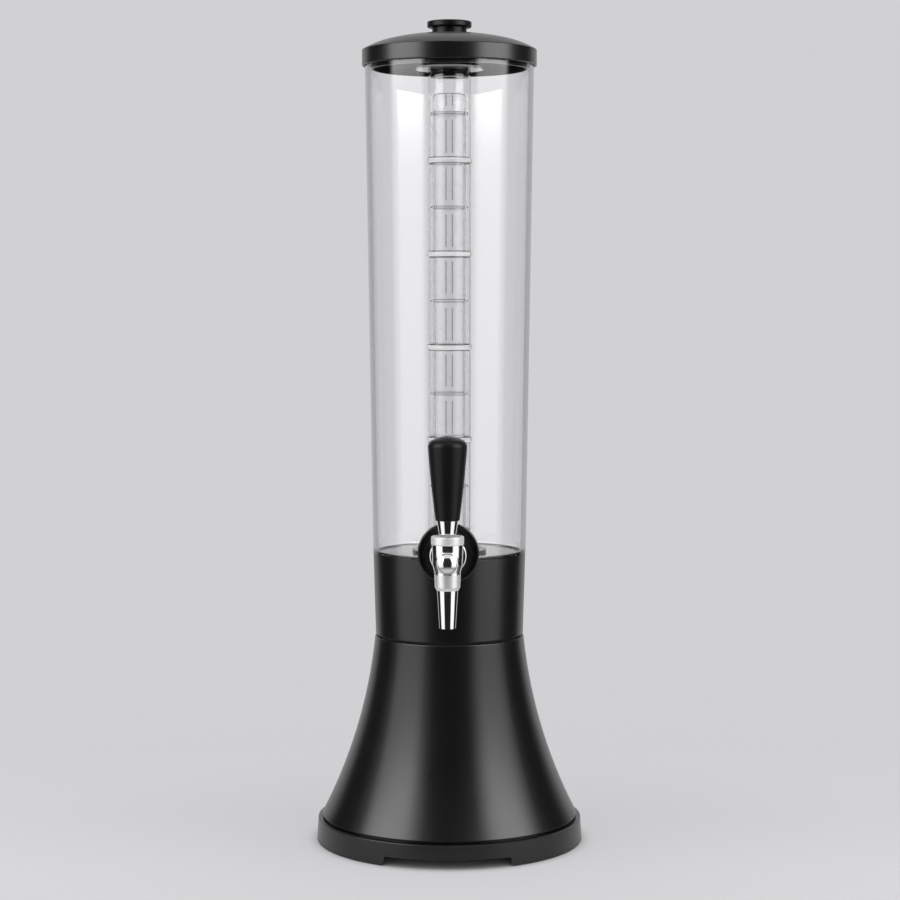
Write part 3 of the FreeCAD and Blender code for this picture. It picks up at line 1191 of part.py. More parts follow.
def make_ice_tube():
    """Clear tube with a closed end, beads outside, a flange on top and two locking lugs in its bore."""
    body = new_body("ice_tube")
    turned(body, "tube", [
        ("0", TUBE_BOTTOM),
        ("tube_radius - tube_bottom_round", TUBE_BOTTOM),
        ("tube_radius", f"{TUBE_BOTTOM} + tube_bottom_round", "tube_bottom_round"),
        ("tube_radius", f"{TUBE_TOP} - tube_flange_thickness"),
        ("tube_flange_radius", f"{TUBE_TOP} - tube_flange_thickness"),
        ("tube_flange_radius", TUBE_TOP),
        (TUBE_BORE, TUBE_TOP),
        (TUBE_BORE, PACK_BOTTOM),
        ("0", PACK_BOTTOM),
    ])
    middle = f"({TUBE_TOP} - first_bead)"
    bead_edge = "bead_radius - bead_height / 10"
    bead = turned(body, "bead", [
        ("tube_radius - tube_wall / 2", f"{middle} - bead_height / 2"),
        (bead_edge, f"{middle} - bead_height / 2"),
        (bead_edge, f"{middle} + bead_height / 2", "bead_curve"),
        ("tube_radius - tube_wall / 2", f"{middle} + bead_height / 2"),
    ])
    repeated_down(body, "beads", [bead], BEAD_COUNT, "bead_pitch")
    lug_outline = outline(body, "lug_outline", rectangle(
        f"{TUBE_BORE} - lug_depth", "-lug_half_width", "tube_radius - tube_wall / 2", "lug_half_width"),
        plane="XY_Plane", offset=f"{TUBE_TOP} - lug_drop")
    lug = padded(body, "lug", lug_outline, "lug_height")
    repeated_round(body, "lugs", [lug], LOCKING_LUG_COUNT)


def make_cold_pack():
    """Clear closed-topped sleeve of the cold pack, with spacer rings and a raised rib."""
    body = new_body("cold_pack")
    turned(body, "sleeve", [
        ("pack_radius - pack_wall", f"{PACK_BOTTOM} + plug_flange"),
        ("pack_radius", f"{PACK_BOTTOM} + plug_flange"),
        ("pack_radius", f"{PACK_TOP} - pack_top_round"),
        ("pack_radius - pack_top_round", PACK_TOP, "pack_top_round"),
        ("0", PACK_TOP),
        ("0", f"{PACK_TOP} - pack_wall"),
        ("pack_radius - pack_wall", f"{PACK_TOP} - pack_wall"),
    ])
    spacer_middle = f"({PACK_TOP} - first_spacer)"
    spacer = turned(body, "spacer", rectangle(
        "pack_radius - pack_wall / 2", f"{spacer_middle} - spacer_height / 2",
        f"{TUBE_BORE} - spacer_gap", f"{spacer_middle} + spacer_height / 2"))
    repeated_down(body, "spacers", [spacer], SPACER_COUNT, "bead_pitch")
    rib_outline = outline(body, "rib_outline", rectangle(
        "pack_radius - pack_wall / 2", f"{PACK_BOTTOM} + pack_rib_margin",
        "pack_radius + pack_rib_rise", f"{PACK_TOP} - pack_rib_margin"), plane="YZ_Plane")
    rib = padded(body, "rear_rib", rib_outline, "pack_rib_width", both_ways=True)
    repeated_round(body, "ribs", [rib], 2)


def make_cold_pack_plug():
    """Plug that closes the sleeve's lower end."""
    body = new_body("cold_pack_plug")
    turned(body, "plug", [
        ("0", PACK_BOTTOM),
        ("pack_radius", PACK_BOTTOM),
        ("pack_radius", f"{PACK_BOTTOM} + plug_flange"),
        ("pack_radius - pack_wall - gel_gap", f"{PACK_BOTTOM} + plug_flange"),
        ("pack_radius - pack_wall - gel_gap", f"{PACK_BOTTOM} + plug_height"),
        ("0", f"{PACK_BOTTOM} + plug_height"),
    ])


def make_cooling_gel():
    """Gel that fills the sleeve up to its level."""
    body = new_body("cooling_gel")
    turned(body, "fill", rectangle(
        "0", f"{PACK_BOTTOM} + plug_height", "pack_radius - pack_wall - gel_gap", f"{PACK_TOP} - gel_drop"))


# ---------------------------------------------------------------- lid

SPIGOT_BOTTOM = f"({TUBE_TOP} - tube_spigot_length)"
LUG_GROOVE_TOP = f"({TUBE_TOP} - lug_drop + lug_height + lug_gap)"
LUG_GROOVE_BOTTOM = f"({TUBE_TOP} - lug_drop - lug_gap)"
LUG_GROOVE_RADIUS = f"({TUBE_BORE} - lug_depth - lug_gap)"
TUBE_RING_TOP = f"({TUBE_TOP} - tube_ring_drop)"
TUBE_RING_BOTTOM = f"({TUBE_RING_TOP} - tube_ring_section - 2 * fit_gap)"


def make_lid():
    """Domed lid with a skirt outside the container, a plug ring inside it and a boss for the ice tube."""
    body = new_body("lid")
    seat_radius = "(knob_neck_radius + knob_seat_margin)"
    boss_radius = "(tube_radius + lid_boss_margin)"
    skirt_bottom = f"({RIM_LEVEL} - lid_skirt_depth)"
    seal_groove_top = f"({RIM_LEVEL} - lid_seal_top)"
    seal_groove_bottom = f"({seal_groove_top} - lid_seal_height)"
    step = f"({RIM_LEVEL} - lid_plug_step)"
    plug_bottom = f"({RIM_LEVEL} - lid_plug_depth)"
    inner_reach = f"({CROWN_REACH} - lid_wall * {CROWN_SINE})"
    turned(body, "cover", [
        ("knob_screw_radius + screw_gap", LID_TOP),
        ("knob_screw_radius + screw_gap", f"{LID_TOP} - knob_seat_height"),
        ("lid_boss_bore", f"{LID_TOP} - knob_seat_height"),
        ("lid_boss_bore", SPIGOT_BOTTOM),
        (TUBE_SPIGOT_RADIUS, SPIGOT_BOTTOM),
        (TUBE_SPIGOT_RADIUS, LUG_GROOVE_BOTTOM),
        (LUG_GROOVE_RADIUS, LUG_GROOVE_BOTTOM),
        (LUG_GROOVE_RADIUS, LUG_GROOVE_TOP),
        (TUBE_SPIGOT_RADIUS, LUG_GROOVE_TOP),
        (TUBE_SPIGOT_RADIUS, TUBE_RING_BOTTOM),
        (f"{TUBE_BORE} - tube_ring_section - 2 * fit_gap", TUBE_RING_BOTTOM),
        (f"{TUBE_BORE} - tube_ring_section - 2 * fit_gap", TUBE_RING_TOP),
        (TUBE_SPIGOT_RADIUS, TUBE_RING_TOP),
        (TUBE_SPIGOT_RADIUS, f"{TUBE_TOP} + fit_gap"),
        (boss_radius, f"{TUBE_TOP} + fit_gap"),
        (boss_radius, crown_level(boss_radius, "lid_wall")),
        (inner_reach, crown_level(inner_reach, "lid_wall"), "-(lid_crown_curve - lid_wall)"),
        (LID_PLUG_BORE, shoulder_level(LID_PLUG_BORE, "lid_wall"), "-(lid_shoulder_curve - lid_wall)"),
        (LID_PLUG_BORE, plug_bottom),
        (f"{LID_PLUG_RADIUS} - lid_plug_step_inset", plug_bottom),
        (f"{LID_PLUG_RADIUS} - lid_plug_step_inset", step),
        (LID_PLUG_RADIUS, step),
        (LID_PLUG_RADIUS, seal_groove_bottom),
        (f"{LID_PLUG_RADIUS} - lid_seal_groove", seal_groove_bottom),
        (f"{LID_PLUG_RADIUS} - lid_seal_groove", seal_groove_top),
        (LID_PLUG_RADIUS, seal_groove_top),
        (LID_PLUG_RADIUS, RIM_LEVEL),
        (LID_SKIRT_BORE, RIM_LEVEL),
        (LID_SKIRT_BORE, skirt_bottom),
        (LID_EDGE_RADIUS, skirt_bottom),
        (LID_RADIUS, f"{skirt_bottom} + lid_edge_round", "lid_edge_round"),
        (LID_RADIUS, f"{LID_EDGE_LEVEL} - lid_edge_round"),
        (LID_EDGE_RADIUS, LID_EDGE_LEVEL, "lid_edge_round"),
        (CROWN_REACH, crown_level(CROWN_REACH, "0"), "lid_shoulder_curve"),
        (seat_radius, crown_level(seat_radius, "0"), "lid_crown_curve"),
        (seat_radius, LID_TOP),
    ])
    entry_outline = outline(body, "entry_outline", rectangle(
        "-lug_half_width - lug_gap", f"{LUG_GROOVE_RADIUS}", "lug_half_width + lug_gap", "tube_radius"),
        plane="XY_Plane", offset=SPIGOT_BOTTOM)
    entry = pocketed(body, "lug_entry", entry_outline, f"{LUG_GROOVE_TOP} - {SPIGOT_BOTTOM}")
    repeated_round(body, "lug_entries", [entry], LOCKING_LUG_COUNT)


def make_lid_seal():
    """Rubber ring in the plug's groove, close to the container's inner wall."""
    body = new_body("lid_seal")
    top = f"({RIM_LEVEL} - lid_seal_top - fit_gap)"
    bottom = f"({RIM_LEVEL} - lid_seal_top - lid_seal_height + fit_gap)"
    inner = f"{LID_PLUG_RADIUS} - lid_seal_groove + fit_gap"
    outer = f"{container_radius(bottom)} - container_wall - lid_seal_gap"
    turned(body, "ring", [
        (inner, bottom),
        (f"{outer} - lid_seal_chamfer", bottom),
        (outer, f"{bottom} + lid_seal_chamfer"),
        (outer, f"{top} - lid_seal_chamfer"),
        (f"{outer} - lid_seal_chamfer", top),
        (inner, top),
    ])


def make_tube_ring():
    """Sealing ring between the lid's spigot and the ice tube's bore."""
    body = new_body("tube_ring")
    middle = f"({TUBE_RING_TOP} + {TUBE_RING_BOTTOM}) / 2"
    section = circles(body, "section", [(f"{TUBE_BORE} - fit_gap - tube_ring_section / 2", middle)],
                      "tube_ring_section / 2", plane="XZ_Plane")
    revolved(body, "ring", section)


def make_knob():
    """Black knob: a disc with a slightly domed top on a narrower neck."""
    body = new_body("lid_knob")
    disc_bottom = f"({LID_TOP} + knob_neck_height)"
    disc_top = f"({disc_bottom} + knob_disc_height)"
    hole = "(knob_screw_radius + screw_gap)"
    hole_top = f"({LID_TOP} + knob_screw_bite + stem_hole_spare)"
    flat_radius = "(knob_radius - knob_round)"
    crown_rise = f"(knob_crown_curve - sqrt(knob_crown_curve^2 - {flat_radius}^2))"
    turned(body, "knob", [
        (hole, LID_TOP),
        ("knob_neck_radius", LID_TOP),
        ("knob_neck_radius", disc_bottom),
        (flat_radius, disc_bottom),
        ("knob_radius", f"{disc_bottom} + knob_round", "knob_round"),
        ("knob_radius", f"{disc_top} - knob_round"),
        (flat_radius, disc_top, "knob_round"),
        ("0", f"{disc_top} + {crown_rise}", "knob_crown_curve"),
        ("0", hole_top),
        (hole, hole_top),
    ])


def make_knob_screw():
    """Screw from inside the lid's boss into the knob."""
    body = new_body("knob_screw")
    head_top = f"({LID_TOP} - knob_seat_height)"
    turned(body, "screw", [
        ("0", f"{head_top} - knob_screw_head_height"),
        ("knob_screw_head_radius", f"{head_top} - knob_screw_head_height"),
        ("knob_screw_head_radius", head_top),
        ("knob_screw_radius", head_top),
        ("knob_screw_radius", f"{LID_TOP} + knob_screw_bite"),
        ("0", f"{LID_TOP} + knob_screw_bite"),
    ])


# ---------------------------------------------------------------- build and export

make_foot_ring()
make_rubber_feet()
make_base_shell()
make_base_screws()
make_deck_gasket()
make_collar()
make_tower_washer()
make_tower_nut()
make_container()
make_container_ring()
make_tube_seat()
make_tap_gasket()
make_escutcheon()
make_shank()
make_shank_washer()
make_shank_nut()
make_coupling_washer()
make_coupling_nut()
make_tap_body()
make_spout()
make_plunger()
make_valve_seal()
make_plunger_nut()
make_lever()
make_lever_bearing()
make_bonnet()
make_ferrule()
make_handle()
make_ice_tube()
make_cold_pack()
make_cold_pack_plug()
make_cooling_gel()
make_lid()
make_lid_seal()
make_tube_ring()
make_knob()
make_knob_screw()
doc.recompute()

for item in doc.Objects:
    if {"Invalid", "Error"} & set(item.State):
        raise RuntimeError(f"{item.Label} is {item.State}")
for part in PARTS:
    if part.Shape.isNull() or not part.Shape.isValid():
        raise RuntimeError(f"{part.Label} has no valid shape")

os.makedirs("parts", exist_ok=True)
for part in PARTS:
    part.Shape.exportStep(f"parts/{part.Label}.step")
    print(f"{part.Label}: {len(part.Shape.Solids)} solid, {part.Shape.Volume / 1000:.1f} cm3")
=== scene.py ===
import json
import math

import bpy
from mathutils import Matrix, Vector


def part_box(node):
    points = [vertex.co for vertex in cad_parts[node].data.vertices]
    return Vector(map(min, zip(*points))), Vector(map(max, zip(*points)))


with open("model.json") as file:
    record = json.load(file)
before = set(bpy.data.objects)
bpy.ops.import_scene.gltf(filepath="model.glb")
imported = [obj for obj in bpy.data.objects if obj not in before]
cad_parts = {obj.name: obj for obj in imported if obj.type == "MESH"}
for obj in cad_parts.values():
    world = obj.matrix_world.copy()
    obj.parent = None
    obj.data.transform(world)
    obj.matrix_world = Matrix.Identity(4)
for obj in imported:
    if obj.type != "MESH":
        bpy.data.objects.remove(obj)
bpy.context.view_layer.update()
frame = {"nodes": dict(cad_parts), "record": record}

# Looks of a table-top beer tower: satin black mouldings, a clear container with an ice tube in it,
# and a chrome tap with a black handle. Lengths are in metres, in the frame of the CAD part.


def axis_of(node):
    """The middle of a node, seen from above, at the level of the table."""
    low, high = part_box(node)
    return Vector(((low.x + high.x) / 2, (low.y + high.y) / 2, 0))


TOWER = axis_of("lid")

# Camera, measured from the tower's axis
CAMERA_DISTANCE = 1.9237
CAMERA_HEIGHT = 0.4742
CAMERA_AZIMUTH = math.radians(0.72)
CAMERA_TILT = math.radians(4.1)
CAMERA_HEADING = math.radians(0.7047)
CAMERA_LENS = 90.0

# Backdrop: its colours above and below the turn, which is a range of the view direction's Z
BACKDROP = (0.635, 0.635, 0.650)
BACKDROP_LOW = (0.695, 0.695, 0.710)
BACKDROP_TURN = (-0.25, -0.20)
SKY_LEVEL = 0.9
SEEN_THROUGH = 1.12

# Floor: each range is a distance from the tower's axis, or behind it for the glow's turn
FLOOR = (0.71, 0.71, 0.725)
FLOOR_PATCHES = tuple(channel * 0.99 for channel in FLOOR)
FLOOR_RADIUS = 0.75
FLOOR_RINGS = 12
FLOOR_SIDES = 96
FLOOR_FADE = (0.16, 0.6)
FLOOR_GLOW = (0.705, 0.705, 0.720)
FLOOR_GLOW_BACK = (0.625, 0.625, 0.640)
FLOOR_GLOW_TURN = (-0.15, 0.12)
FLOOR_GLOW_START = (0.110, 0.126)
FLOOR_GLOW_SHARE = 0.6

# Tall softboxes: spans of azimuth, and their strength over the height as shares of the peak
LEFT_SOFTBOX = (math.radians(-88), math.radians(-31))
RIGHT_SOFTBOX = (math.radians(34), math.radians(89))
SOFTBOX_DISTANCE = 1.7
SOFTBOX_BOTTOM = -0.9
SOFTBOX_TOP = 2.1
SOFTBOX_COLUMNS = 12
SOFTBOX_PEAK = 7.0
SOFTBOX_PROFILE = ((-0.9, 0.12), (0.0, 0.19), (0.35, 0.25), (0.62, 0.31), (0.75, 0.40),
                   (0.82, 0.95), (1.0, 0.9), (1.6, 0.6), (2.1, 0.5))
SOFTBOX_EDGE = math.radians(9)

# Overhead panel and the dark room on the camera's side
OVERHEAD_SHARE = 0.12
OVERHEAD_HALF_WIDTH = 1.5
OVERHEAD_FRONT = 1.9
DARK_RADIUS = 3.0
DARK_HALF_WIDTH = math.radians(134)
DARK_TOP = math.radians(75)
DARK_BOTTOM = math.radians(-60)
DARK_COLUMNS = 48
DARK_ROWS = 12
DARK_LEVEL = 0.015

# Light that passes many clear walls needs many bounces
CLEAR_BOUNCES = 32
GLOSSY_BOUNCES = 8


# ---------------------------------------------------------------- node helpers

def add(tree, kind, inputs=None, **settings):
    """A new node with its settings, and each input either linked or set."""
    node = tree.nodes.new(kind)
    for name, value in settings.items():
        setattr(node, name, value)
    for name, value in (inputs or {}).items():
        if isinstance(value, bpy.types.NodeSocket):
            tree.links.new(value, node.inputs[name])
        else:
            node.inputs[name].default_value = value
    return node


def maths(tree, operation, first, second=0.0):
    """The result of a Math node."""
    return add(tree, "ShaderNodeMath", {0: first, 1: second}, operation=operation).outputs[0]


def ramp(tree, value, start, end, low=0.0, high=1.0, smooth=False):
    """Goes from low to high, in a straight line or smoothly, as a value goes from start to end."""
    inputs = {"Value": value, "From Min": start, "From Max": end, "To Min": low, "To Max": high}
    kind = "SMOOTHSTEP" if smooth else "LINEAR"
    return add(tree, "ShaderNodeMapRange", inputs, interpolation_type=kind).outputs[0]


def spread(tree, value, low, high):
    """A value from 0 to 1 carried to the range from low to high."""
    return ramp(tree, value, 0.0, 1.0, low, high)


def noise(tree, scale, detail=3.0, stretch=None):
    """Noise in the object's own space, from 0 to 1, with scale in cells a metre."""
    place = add(tree, "ShaderNodeTexCoord").outputs["Object"]
    if stretch:
        place = add(tree, "ShaderNodeMapping", {"Vector": place, "Scale": stretch}).outputs[0]
    inputs = {"Vector": place, "Scale": scale, "Detail": detail}
    return add(tree, "ShaderNodeTexNoise", inputs).outputs[0]


def between(tree, value, first, second):
    """A colour between two colours."""
    mix = add(tree, "ShaderNodeMix", {0: value, 6: (*first, 1), 7: (*second, 1)}, data_type="RGBA")
    return mix.outputs[2]


def bump(tree, height, distance, strength=1.0):
    """A normal from a height between 0 and 1."""
    return add(tree, "ShaderNodeBump",
               {"Height": height, "Distance": distance, "Strength": strength}).outputs[0]


def axial(tree):
    """Where a point lies from the tower's axis: across, back and up."""
    place = add(tree, "ShaderNodeTexCoord").outputs["Object"]
    shifted = add(tree, "ShaderNodeVectorMath", {0: place, 1: tuple(TOWER)}, operation="SUBTRACT").outputs[0]
    return add(tree, "ShaderNodeSeparateXYZ", {0: shifted}).outputs[:]


def from_axis(tree, across, back):
    """Distance of a point from the tower's axis."""
    squares = [maths(tree, "MULTIPLY", side, side) for side in (across, back)]
    return maths(tree, "SQRT", maths(tree, "ADD", *squares))


def mixed(tree, share, first, second):
    """A mix of two shaders: the first where share is 0, the second where it is 1."""
    return add(tree, "ShaderNodeMixShader", {0: share, 1: first.outputs[0], 2: second.outputs[0]})


def show(tree, shader, output="Material Output"):
    """Makes a shader the surface of a material or of the world."""
    tree.links.new(shader.outputs[0], tree.nodes[output].inputs["Surface"])


def new_material(name, **constants):
    """A material whose Principled shader has these values on its own sockets."""
    material = bpy.data.materials.new(name)
    material.use_nodes = True
    shader = material.node_tree.nodes["Principled BSDF"]
    for socket, value in constants.items():
        shader.inputs[socket.replace("_", " ")].default_value = value
    return material, material.node_tree, shader


def feed(tree, shader, **sources):
    """Links sources to the shader's sockets."""
    for socket, source in sources.items():
        tree.links.new(source, shader.inputs[socket.replace("_", " ")])


# ---------------------------------------------------------------- black mouldings and metal

SHEEN_SPREAD = 0.03
MARK_STRETCH = (1, 1, 0.2)

# The tap's body turns satin below this level, over a short wandering border
SATIN_TOP = 0.2462
SATIN_FADE = 0.003
SATIN_WANDER = 0.003


def moulded(name, dark, light, roughness, grain, relief, **constants):
    """Moulded plastic or rubber: two close tones, an uneven sheen and a fine grain."""
    material, tree, shader = new_material(name, **constants)
    patches = noise(tree, 30, 4)
    fine = noise(tree, grain, 2)
    feed(tree, shader,
         Base_Color=between(tree, patches, dark, light),
         Roughness=spread(tree, patches, roughness - SHEEN_SPREAD, roughness + SHEEN_SPREAD),
         Normal=bump(tree, fine, relief))
    return material


def plated(name, dark, light, roughness, spread_by, relief, metallic=1.0):
    """Polished or satin metal with faint polishing marks."""
    material, tree, shader = new_material(name, Metallic=metallic)
    patches = noise(tree, 90, 4)
    marks = noise(tree, 900, 3, stretch=MARK_STRETCH)
    feed(tree, shader,
         Base_Color=between(tree, patches, dark, light),
         Roughness=spread(tree, marks, roughness - spread_by, roughness + spread_by),
         Normal=bump(tree, marks, relief))
    return material


def body_chrome(name):
    """Chrome of the tap's body, which turns satin below its nose."""
    material, tree, shader = new_material(name)
    level = axial(tree)[2]
    patches = noise(tree, 260, 5)
    marks = noise(tree, 900, 3, stretch=MARK_STRETCH)
    wander = maths(tree, "MULTIPLY", maths(tree, "SUBTRACT", patches, 0.5), SATIN_WANDER)
    satin = ramp(tree, maths(tree, "ADD", level, wander), SATIN_TOP, SATIN_TOP - SATIN_FADE)
    matt = maths(tree, "MULTIPLY", satin, spread(tree, patches, 0.30, 0.50))
    polish = maths(tree, "MULTIPLY", maths(tree, "SUBTRACT", 1.0, satin), spread(tree, marks, 0.09, 0.14))
    feed(tree, shader,
         Base_Color=between(tree, patches, (0.76, 0.76, 0.77), (0.88, 0.88, 0.89)),
         Metallic=spread(tree, satin, 1.0, 0.62),
         Roughness=maths(tree, "ADD", matt, polish),
         Normal=bump(tree, marks, 0.000002))
    return material


# ---------------------------------------------------------------- clear plastic and gel

# Level of one bead and of one spacer ring; the others lie whole pitches above and below it
RING_PITCH = 0.079
FIRST_BEAD = 0.5825
FIRST_SPACER = 0.622

# Painted dark edge lines, painted shade: half widths of a bead, a spacer ring and the rib, and what stays
# free beside them
BEAD_EDGE = 0.0024
BEAD_MARGIN = 0.0005
SPACER_EDGE = 0.0010
RIB_EDGE = 0.0026
RIB_MARGIN = 0.006
LINE_CORE = 0.0002
LINE_RIM = 0.0007

# Outer surface of each clear tube, which takes the painted edge shade: a radius just inside it, its slope
# and the level of that radius
CONTAINER_OUTSIDE = (0.0640, 0.0063 / 0.424, 0.249)
TUBE_OUTSIDE = (0.0174, 0.0, 0.0)
PACK_OUTSIDE = (0.0133, 0.0, 0.0)

# Layer Weight's Facing, from where the painted shade on the outside begins to where it is darkest
GRAZE = (0.585, 0.67)
ABSORBED = (0, 0, 0.06, 1)


def painted_shade_line(tree, distance, darkness):
    """A soft thin painted dark line, painted shade, where a distance is nought."""
    return ramp(tree, maths(tree, "ABSOLUTE", distance), LINE_CORE, LINE_RIM, darkness, 1.0)


def from_ring(tree, level, first):
    """Distance of a level from the nearest ring round a tube, above or below it."""
    steps = maths(tree, "DIVIDE", maths(tree, "SUBTRACT", level, first), RING_PITCH)
    offset = maths(tree, "SUBTRACT", steps, maths(tree, "ROUND", steps))
    return maths(tree, "MULTIPLY", maths(tree, "ABSOLUTE", offset), RING_PITCH)


def bead_lines(tree, across, back, level):
    """Painted shade lines at the edges of the ice tube's beads, and how clear the tube is there."""
    away = from_ring(tree, level, FIRST_BEAD)
    # Painted shade: dark lines along both edges of each bead
    edges = painted_shade_line(tree, maths(tree, "SUBTRACT", away, BEAD_EDGE), 0.25)
    frosted = maths(tree, "LESS_THAN", away, BEAD_EDGE - BEAD_MARGIN)
    return edges, spread(tree, frosted, 1.0, 0.72)


def pack_lines(tree, across, back, level):
    """Painted shade lines at the edges of the cold pack's spacer rings and of the rib on its front, and how
    clear it is.
    """
    from_spacer = from_ring(tree, level, FIRST_SPACER)
    # Painted shade: dark lines at each spacer ring
    rings = painted_shade_line(tree, maths(tree, "SUBTRACT", from_spacer, SPACER_EDGE), 0.6)
    # Painted shade: dark lines along both sides of the rib
    sides = painted_shade_line(tree, maths(tree, "SUBTRACT", maths(tree, "ABSOLUTE", across), RIB_EDGE), 0.5)
    off_rings = maths(tree, "MULTIPLY",
                      maths(tree, "GREATER_THAN", from_spacer, RIB_MARGIN),
                      maths(tree, "GREATER_THAN", from_ring(tree, level, FIRST_BEAD), RIB_MARGIN))
    in_front = maths(tree, "MULTIPLY", off_rings, maths(tree, "LESS_THAN", back, 0.0))
    rib = maths(tree, "MULTIPLY", maths(tree, "SUBTRACT", 1.0, sides), in_front)
    edges = maths(tree, "MULTIPLY", rings, maths(tree, "SUBTRACT", 1.0, rib))
    return edges, spread(tree, rings, 0.8, 1.0)


def let_light_through(tree, shader):
    """Shadow and diffuse rays pass the surface unbent, so what is behind it is lit."""
    path = add(tree, "ShaderNodeLightPath")
    passing = maths(tree, "MAXIMUM", path.outputs["Is Shadow Ray"], path.outputs["Is Diffuse Ray"])
    show(tree, mixed(tree, passing, shader, add(tree, "ShaderNodeBsdfTransparent")))


def clear(name, ior, edge, ripple, density, outside, lines=None):
    """Clear plastic with slight waves, whose outside has painted shade, greyer where it is seen edge-on, and
    which may carry painted shade lines.
    """
    material, tree, shader = new_material(name, IOR=ior, Transmission_Weight=1.0)
    across, back, level = axial(tree)
    foot_radius, slope, foot_level = outside
    rise = maths(tree, "MULTIPLY", maths(tree, "SUBTRACT", level, foot_level), slope)
    on_outside = maths(tree, "GREATER_THAN", from_axis(tree, across, back),
                       maths(tree, "ADD", rise, foot_radius))
    facing = add(tree, "ShaderNodeLayerWeight", {"Blend": 0.5}).outputs["Facing"]
    # Painted shade: the outside is tinted darker towards the edge tint where it is seen edge-on
    painted_graze_shade = maths(tree, "MULTIPLY", ramp(tree, facing, *GRAZE, smooth=True), on_outside)
    shade = spread(tree, painted_graze_shade, 1.0, edge)
    if lines:
        # Painted shade lines darken the tint and lower the clearness where they lie
        painted_line_shade, clearness = lines(tree, across, back, level)
        shade = maths(tree, "MULTIPLY", shade, painted_line_shade)
        feed(tree, shader, Transmission_Weight=clearness)
    waves = noise(tree, 14, 2, stretch=(1, 1, 0.35))
    feed(tree, shader,
         Base_Color=add(tree, "ShaderNodeCombineColor", {0: shade, 1: shade, 2: shade}).outputs[0],
         Roughness=spread(tree, waves, 0.002, 0.004),
         Normal=bump(tree, waves, ripple))
    let_light_through(tree, shader)
    volume = add(tree, "ShaderNodeVolumeAbsorption", {"Color": ABSORBED, "Density": density})
    tree.links.new(volume.outputs[0], tree.nodes["Material Output"].inputs["Volume"])
    return material


def gel(name):
    """Cloudy gel, softly mottled by the grains in it."""
    material, tree, shader = new_material(name, IOR=1.12, Transmission_Weight=1.0)
    place = add(tree, "ShaderNodeTexCoord").outputs["Object"]
    cells = add(tree, "ShaderNodeTexVoronoi", {"Vector": place, "Scale": 420}).outputs["Distance"]
    cloud = noise(tree, 160, 5)
    feed(tree, shader,
         Base_Color=between(tree, cloud, (0.84, 0.84, 0.86), (0.99, 0.99, 1.0)),
         Roughness=spread(tree, cloud, 0.2, 0.4),
         Normal=bump(tree, maths(tree, "ADD", cells, cloud), 0.0003, 0.15))
    let_light_through(tree, shader)
    return material


# ---------------------------------------------------------------- what each node is made of

SLOT_MATERIALS = {
    "black_plastic": moulded("satin_black", (0.0028, 0.0028, 0.0031), (0.0044, 0.0044, 0.0047),
                             0.285, 2600, 0.00002),
    "glossy_black_plastic": moulded("smooth_black", (0.0040, 0.0040, 0.0044), (0.0060, 0.0060, 0.0064),
                                    0.38, 1800, 0.00001, Specular_IOR_Level=0.20),
    "rubber": moulded("black_rubber", (0.010, 0.010, 0.010), (0.016, 0.016, 0.016), 0.75, 2200, 0.00005),
    "white_plastic": moulded("bearing_white", (0.74, 0.74, 0.72), (0.80, 0.80, 0.78),
                             0.45, 1800, 0.00002),
    "chrome_plate": plated("chrome", (0.80, 0.80, 0.81), (0.86, 0.86, 0.87), 0.07, 0.02, 0.000002),
    "satin_metal": plated("satin_plate", (0.72, 0.72, 0.72), (0.90, 0.90, 0.90),
                          0.46, 0.08, 0.00002, metallic=0.5),
    "steel": plated("turned_steel", (0.50, 0.51, 0.53), (0.62, 0.63, 0.65), 0.26, 0.06, 0.00001),
    "clear_plastic": clear("clear_container", 1.39, 0.22, 0.000006, 5.0, CONTAINER_OUTSIDE),
    "gel": gel("cooling_gel"),
}
NODE_MATERIALS = {
    "tap_body": body_chrome("body_chrome"),
    "ice_tube": clear("clear_tube", 1.28, 0.55, 0.00002, 4.0, TUBE_OUTSIDE, bead_lines),
    "cold_pack": clear("clear_pack", 1.24, 0.60, 0.00002, 4.0, PACK_OUTSIDE, pack_lines),
}


def dress_nodes():
    """Gives each CAD node its own material, or else that of its slot in the record."""
    for part in frame["record"]["subparts"]:
        mesh = frame["nodes"][part["node"]].data
        mesh.materials.clear()
        mesh.materials.append(NODE_MATERIALS.get(part["node"], SLOT_MATERIALS[part["material_slot"]]))


# ---------------------------------------------------------------- world and floor

def seen_by_eye(tree):
    """1 for the rays that show the backdrop: camera, glossy and transmission rays."""
    path = add(tree, "ShaderNodeLightPath")
    shown = maths(tree, "MAXIMUM", path.outputs["Is Camera Ray"], path.outputs["Is Glossy Ray"])
    return maths(tree, "MAXIMUM", shown, path.outputs["Is Transmission Ray"])


def make_world():
    """A pale backdrop for the rays that show it, and even white light for the rest."""
    world = bpy.data.worlds.new("studio")
    bpy.context.scene.world = world
    world.use_nodes = True
    tree = world.node_tree
    direction = add(tree, "ShaderNodeTexCoord").outputs["Generated"]
    height = add(tree, "ShaderNodeSeparateXYZ", {0: direction}).outputs["Z"]
    colour = between(tree, ramp(tree, height, *BACKDROP_TURN), BACKDROP_LOW, BACKDROP)
    through = add(tree, "ShaderNodeLightPath").outputs["Is Transmission Ray"]
    shown = add(tree, "ShaderNodeBackground",
                {"Color": colour, "Strength": spread(tree, through, 1.0, SEEN_THROUGH)})
    even = add(tree, "ShaderNodeBackground", {"Color": (1, 1, 1, 1), "Strength": SKY_LEVEL})
    show(tree, mixed(tree, seen_by_eye(tree), even, shown), "World Output")


def stage_mesh(name, points, faces, material):
    """A piece of the studio, which isn't part of the object."""
    mesh = bpy.data.meshes.new(name)
    mesh.from_pydata(points, [], faces)
    mesh.materials.append(material)
    piece = bpy.data.objects.new(name, mesh)
    bpy.context.scene.collection.objects.link(piece)
    return piece


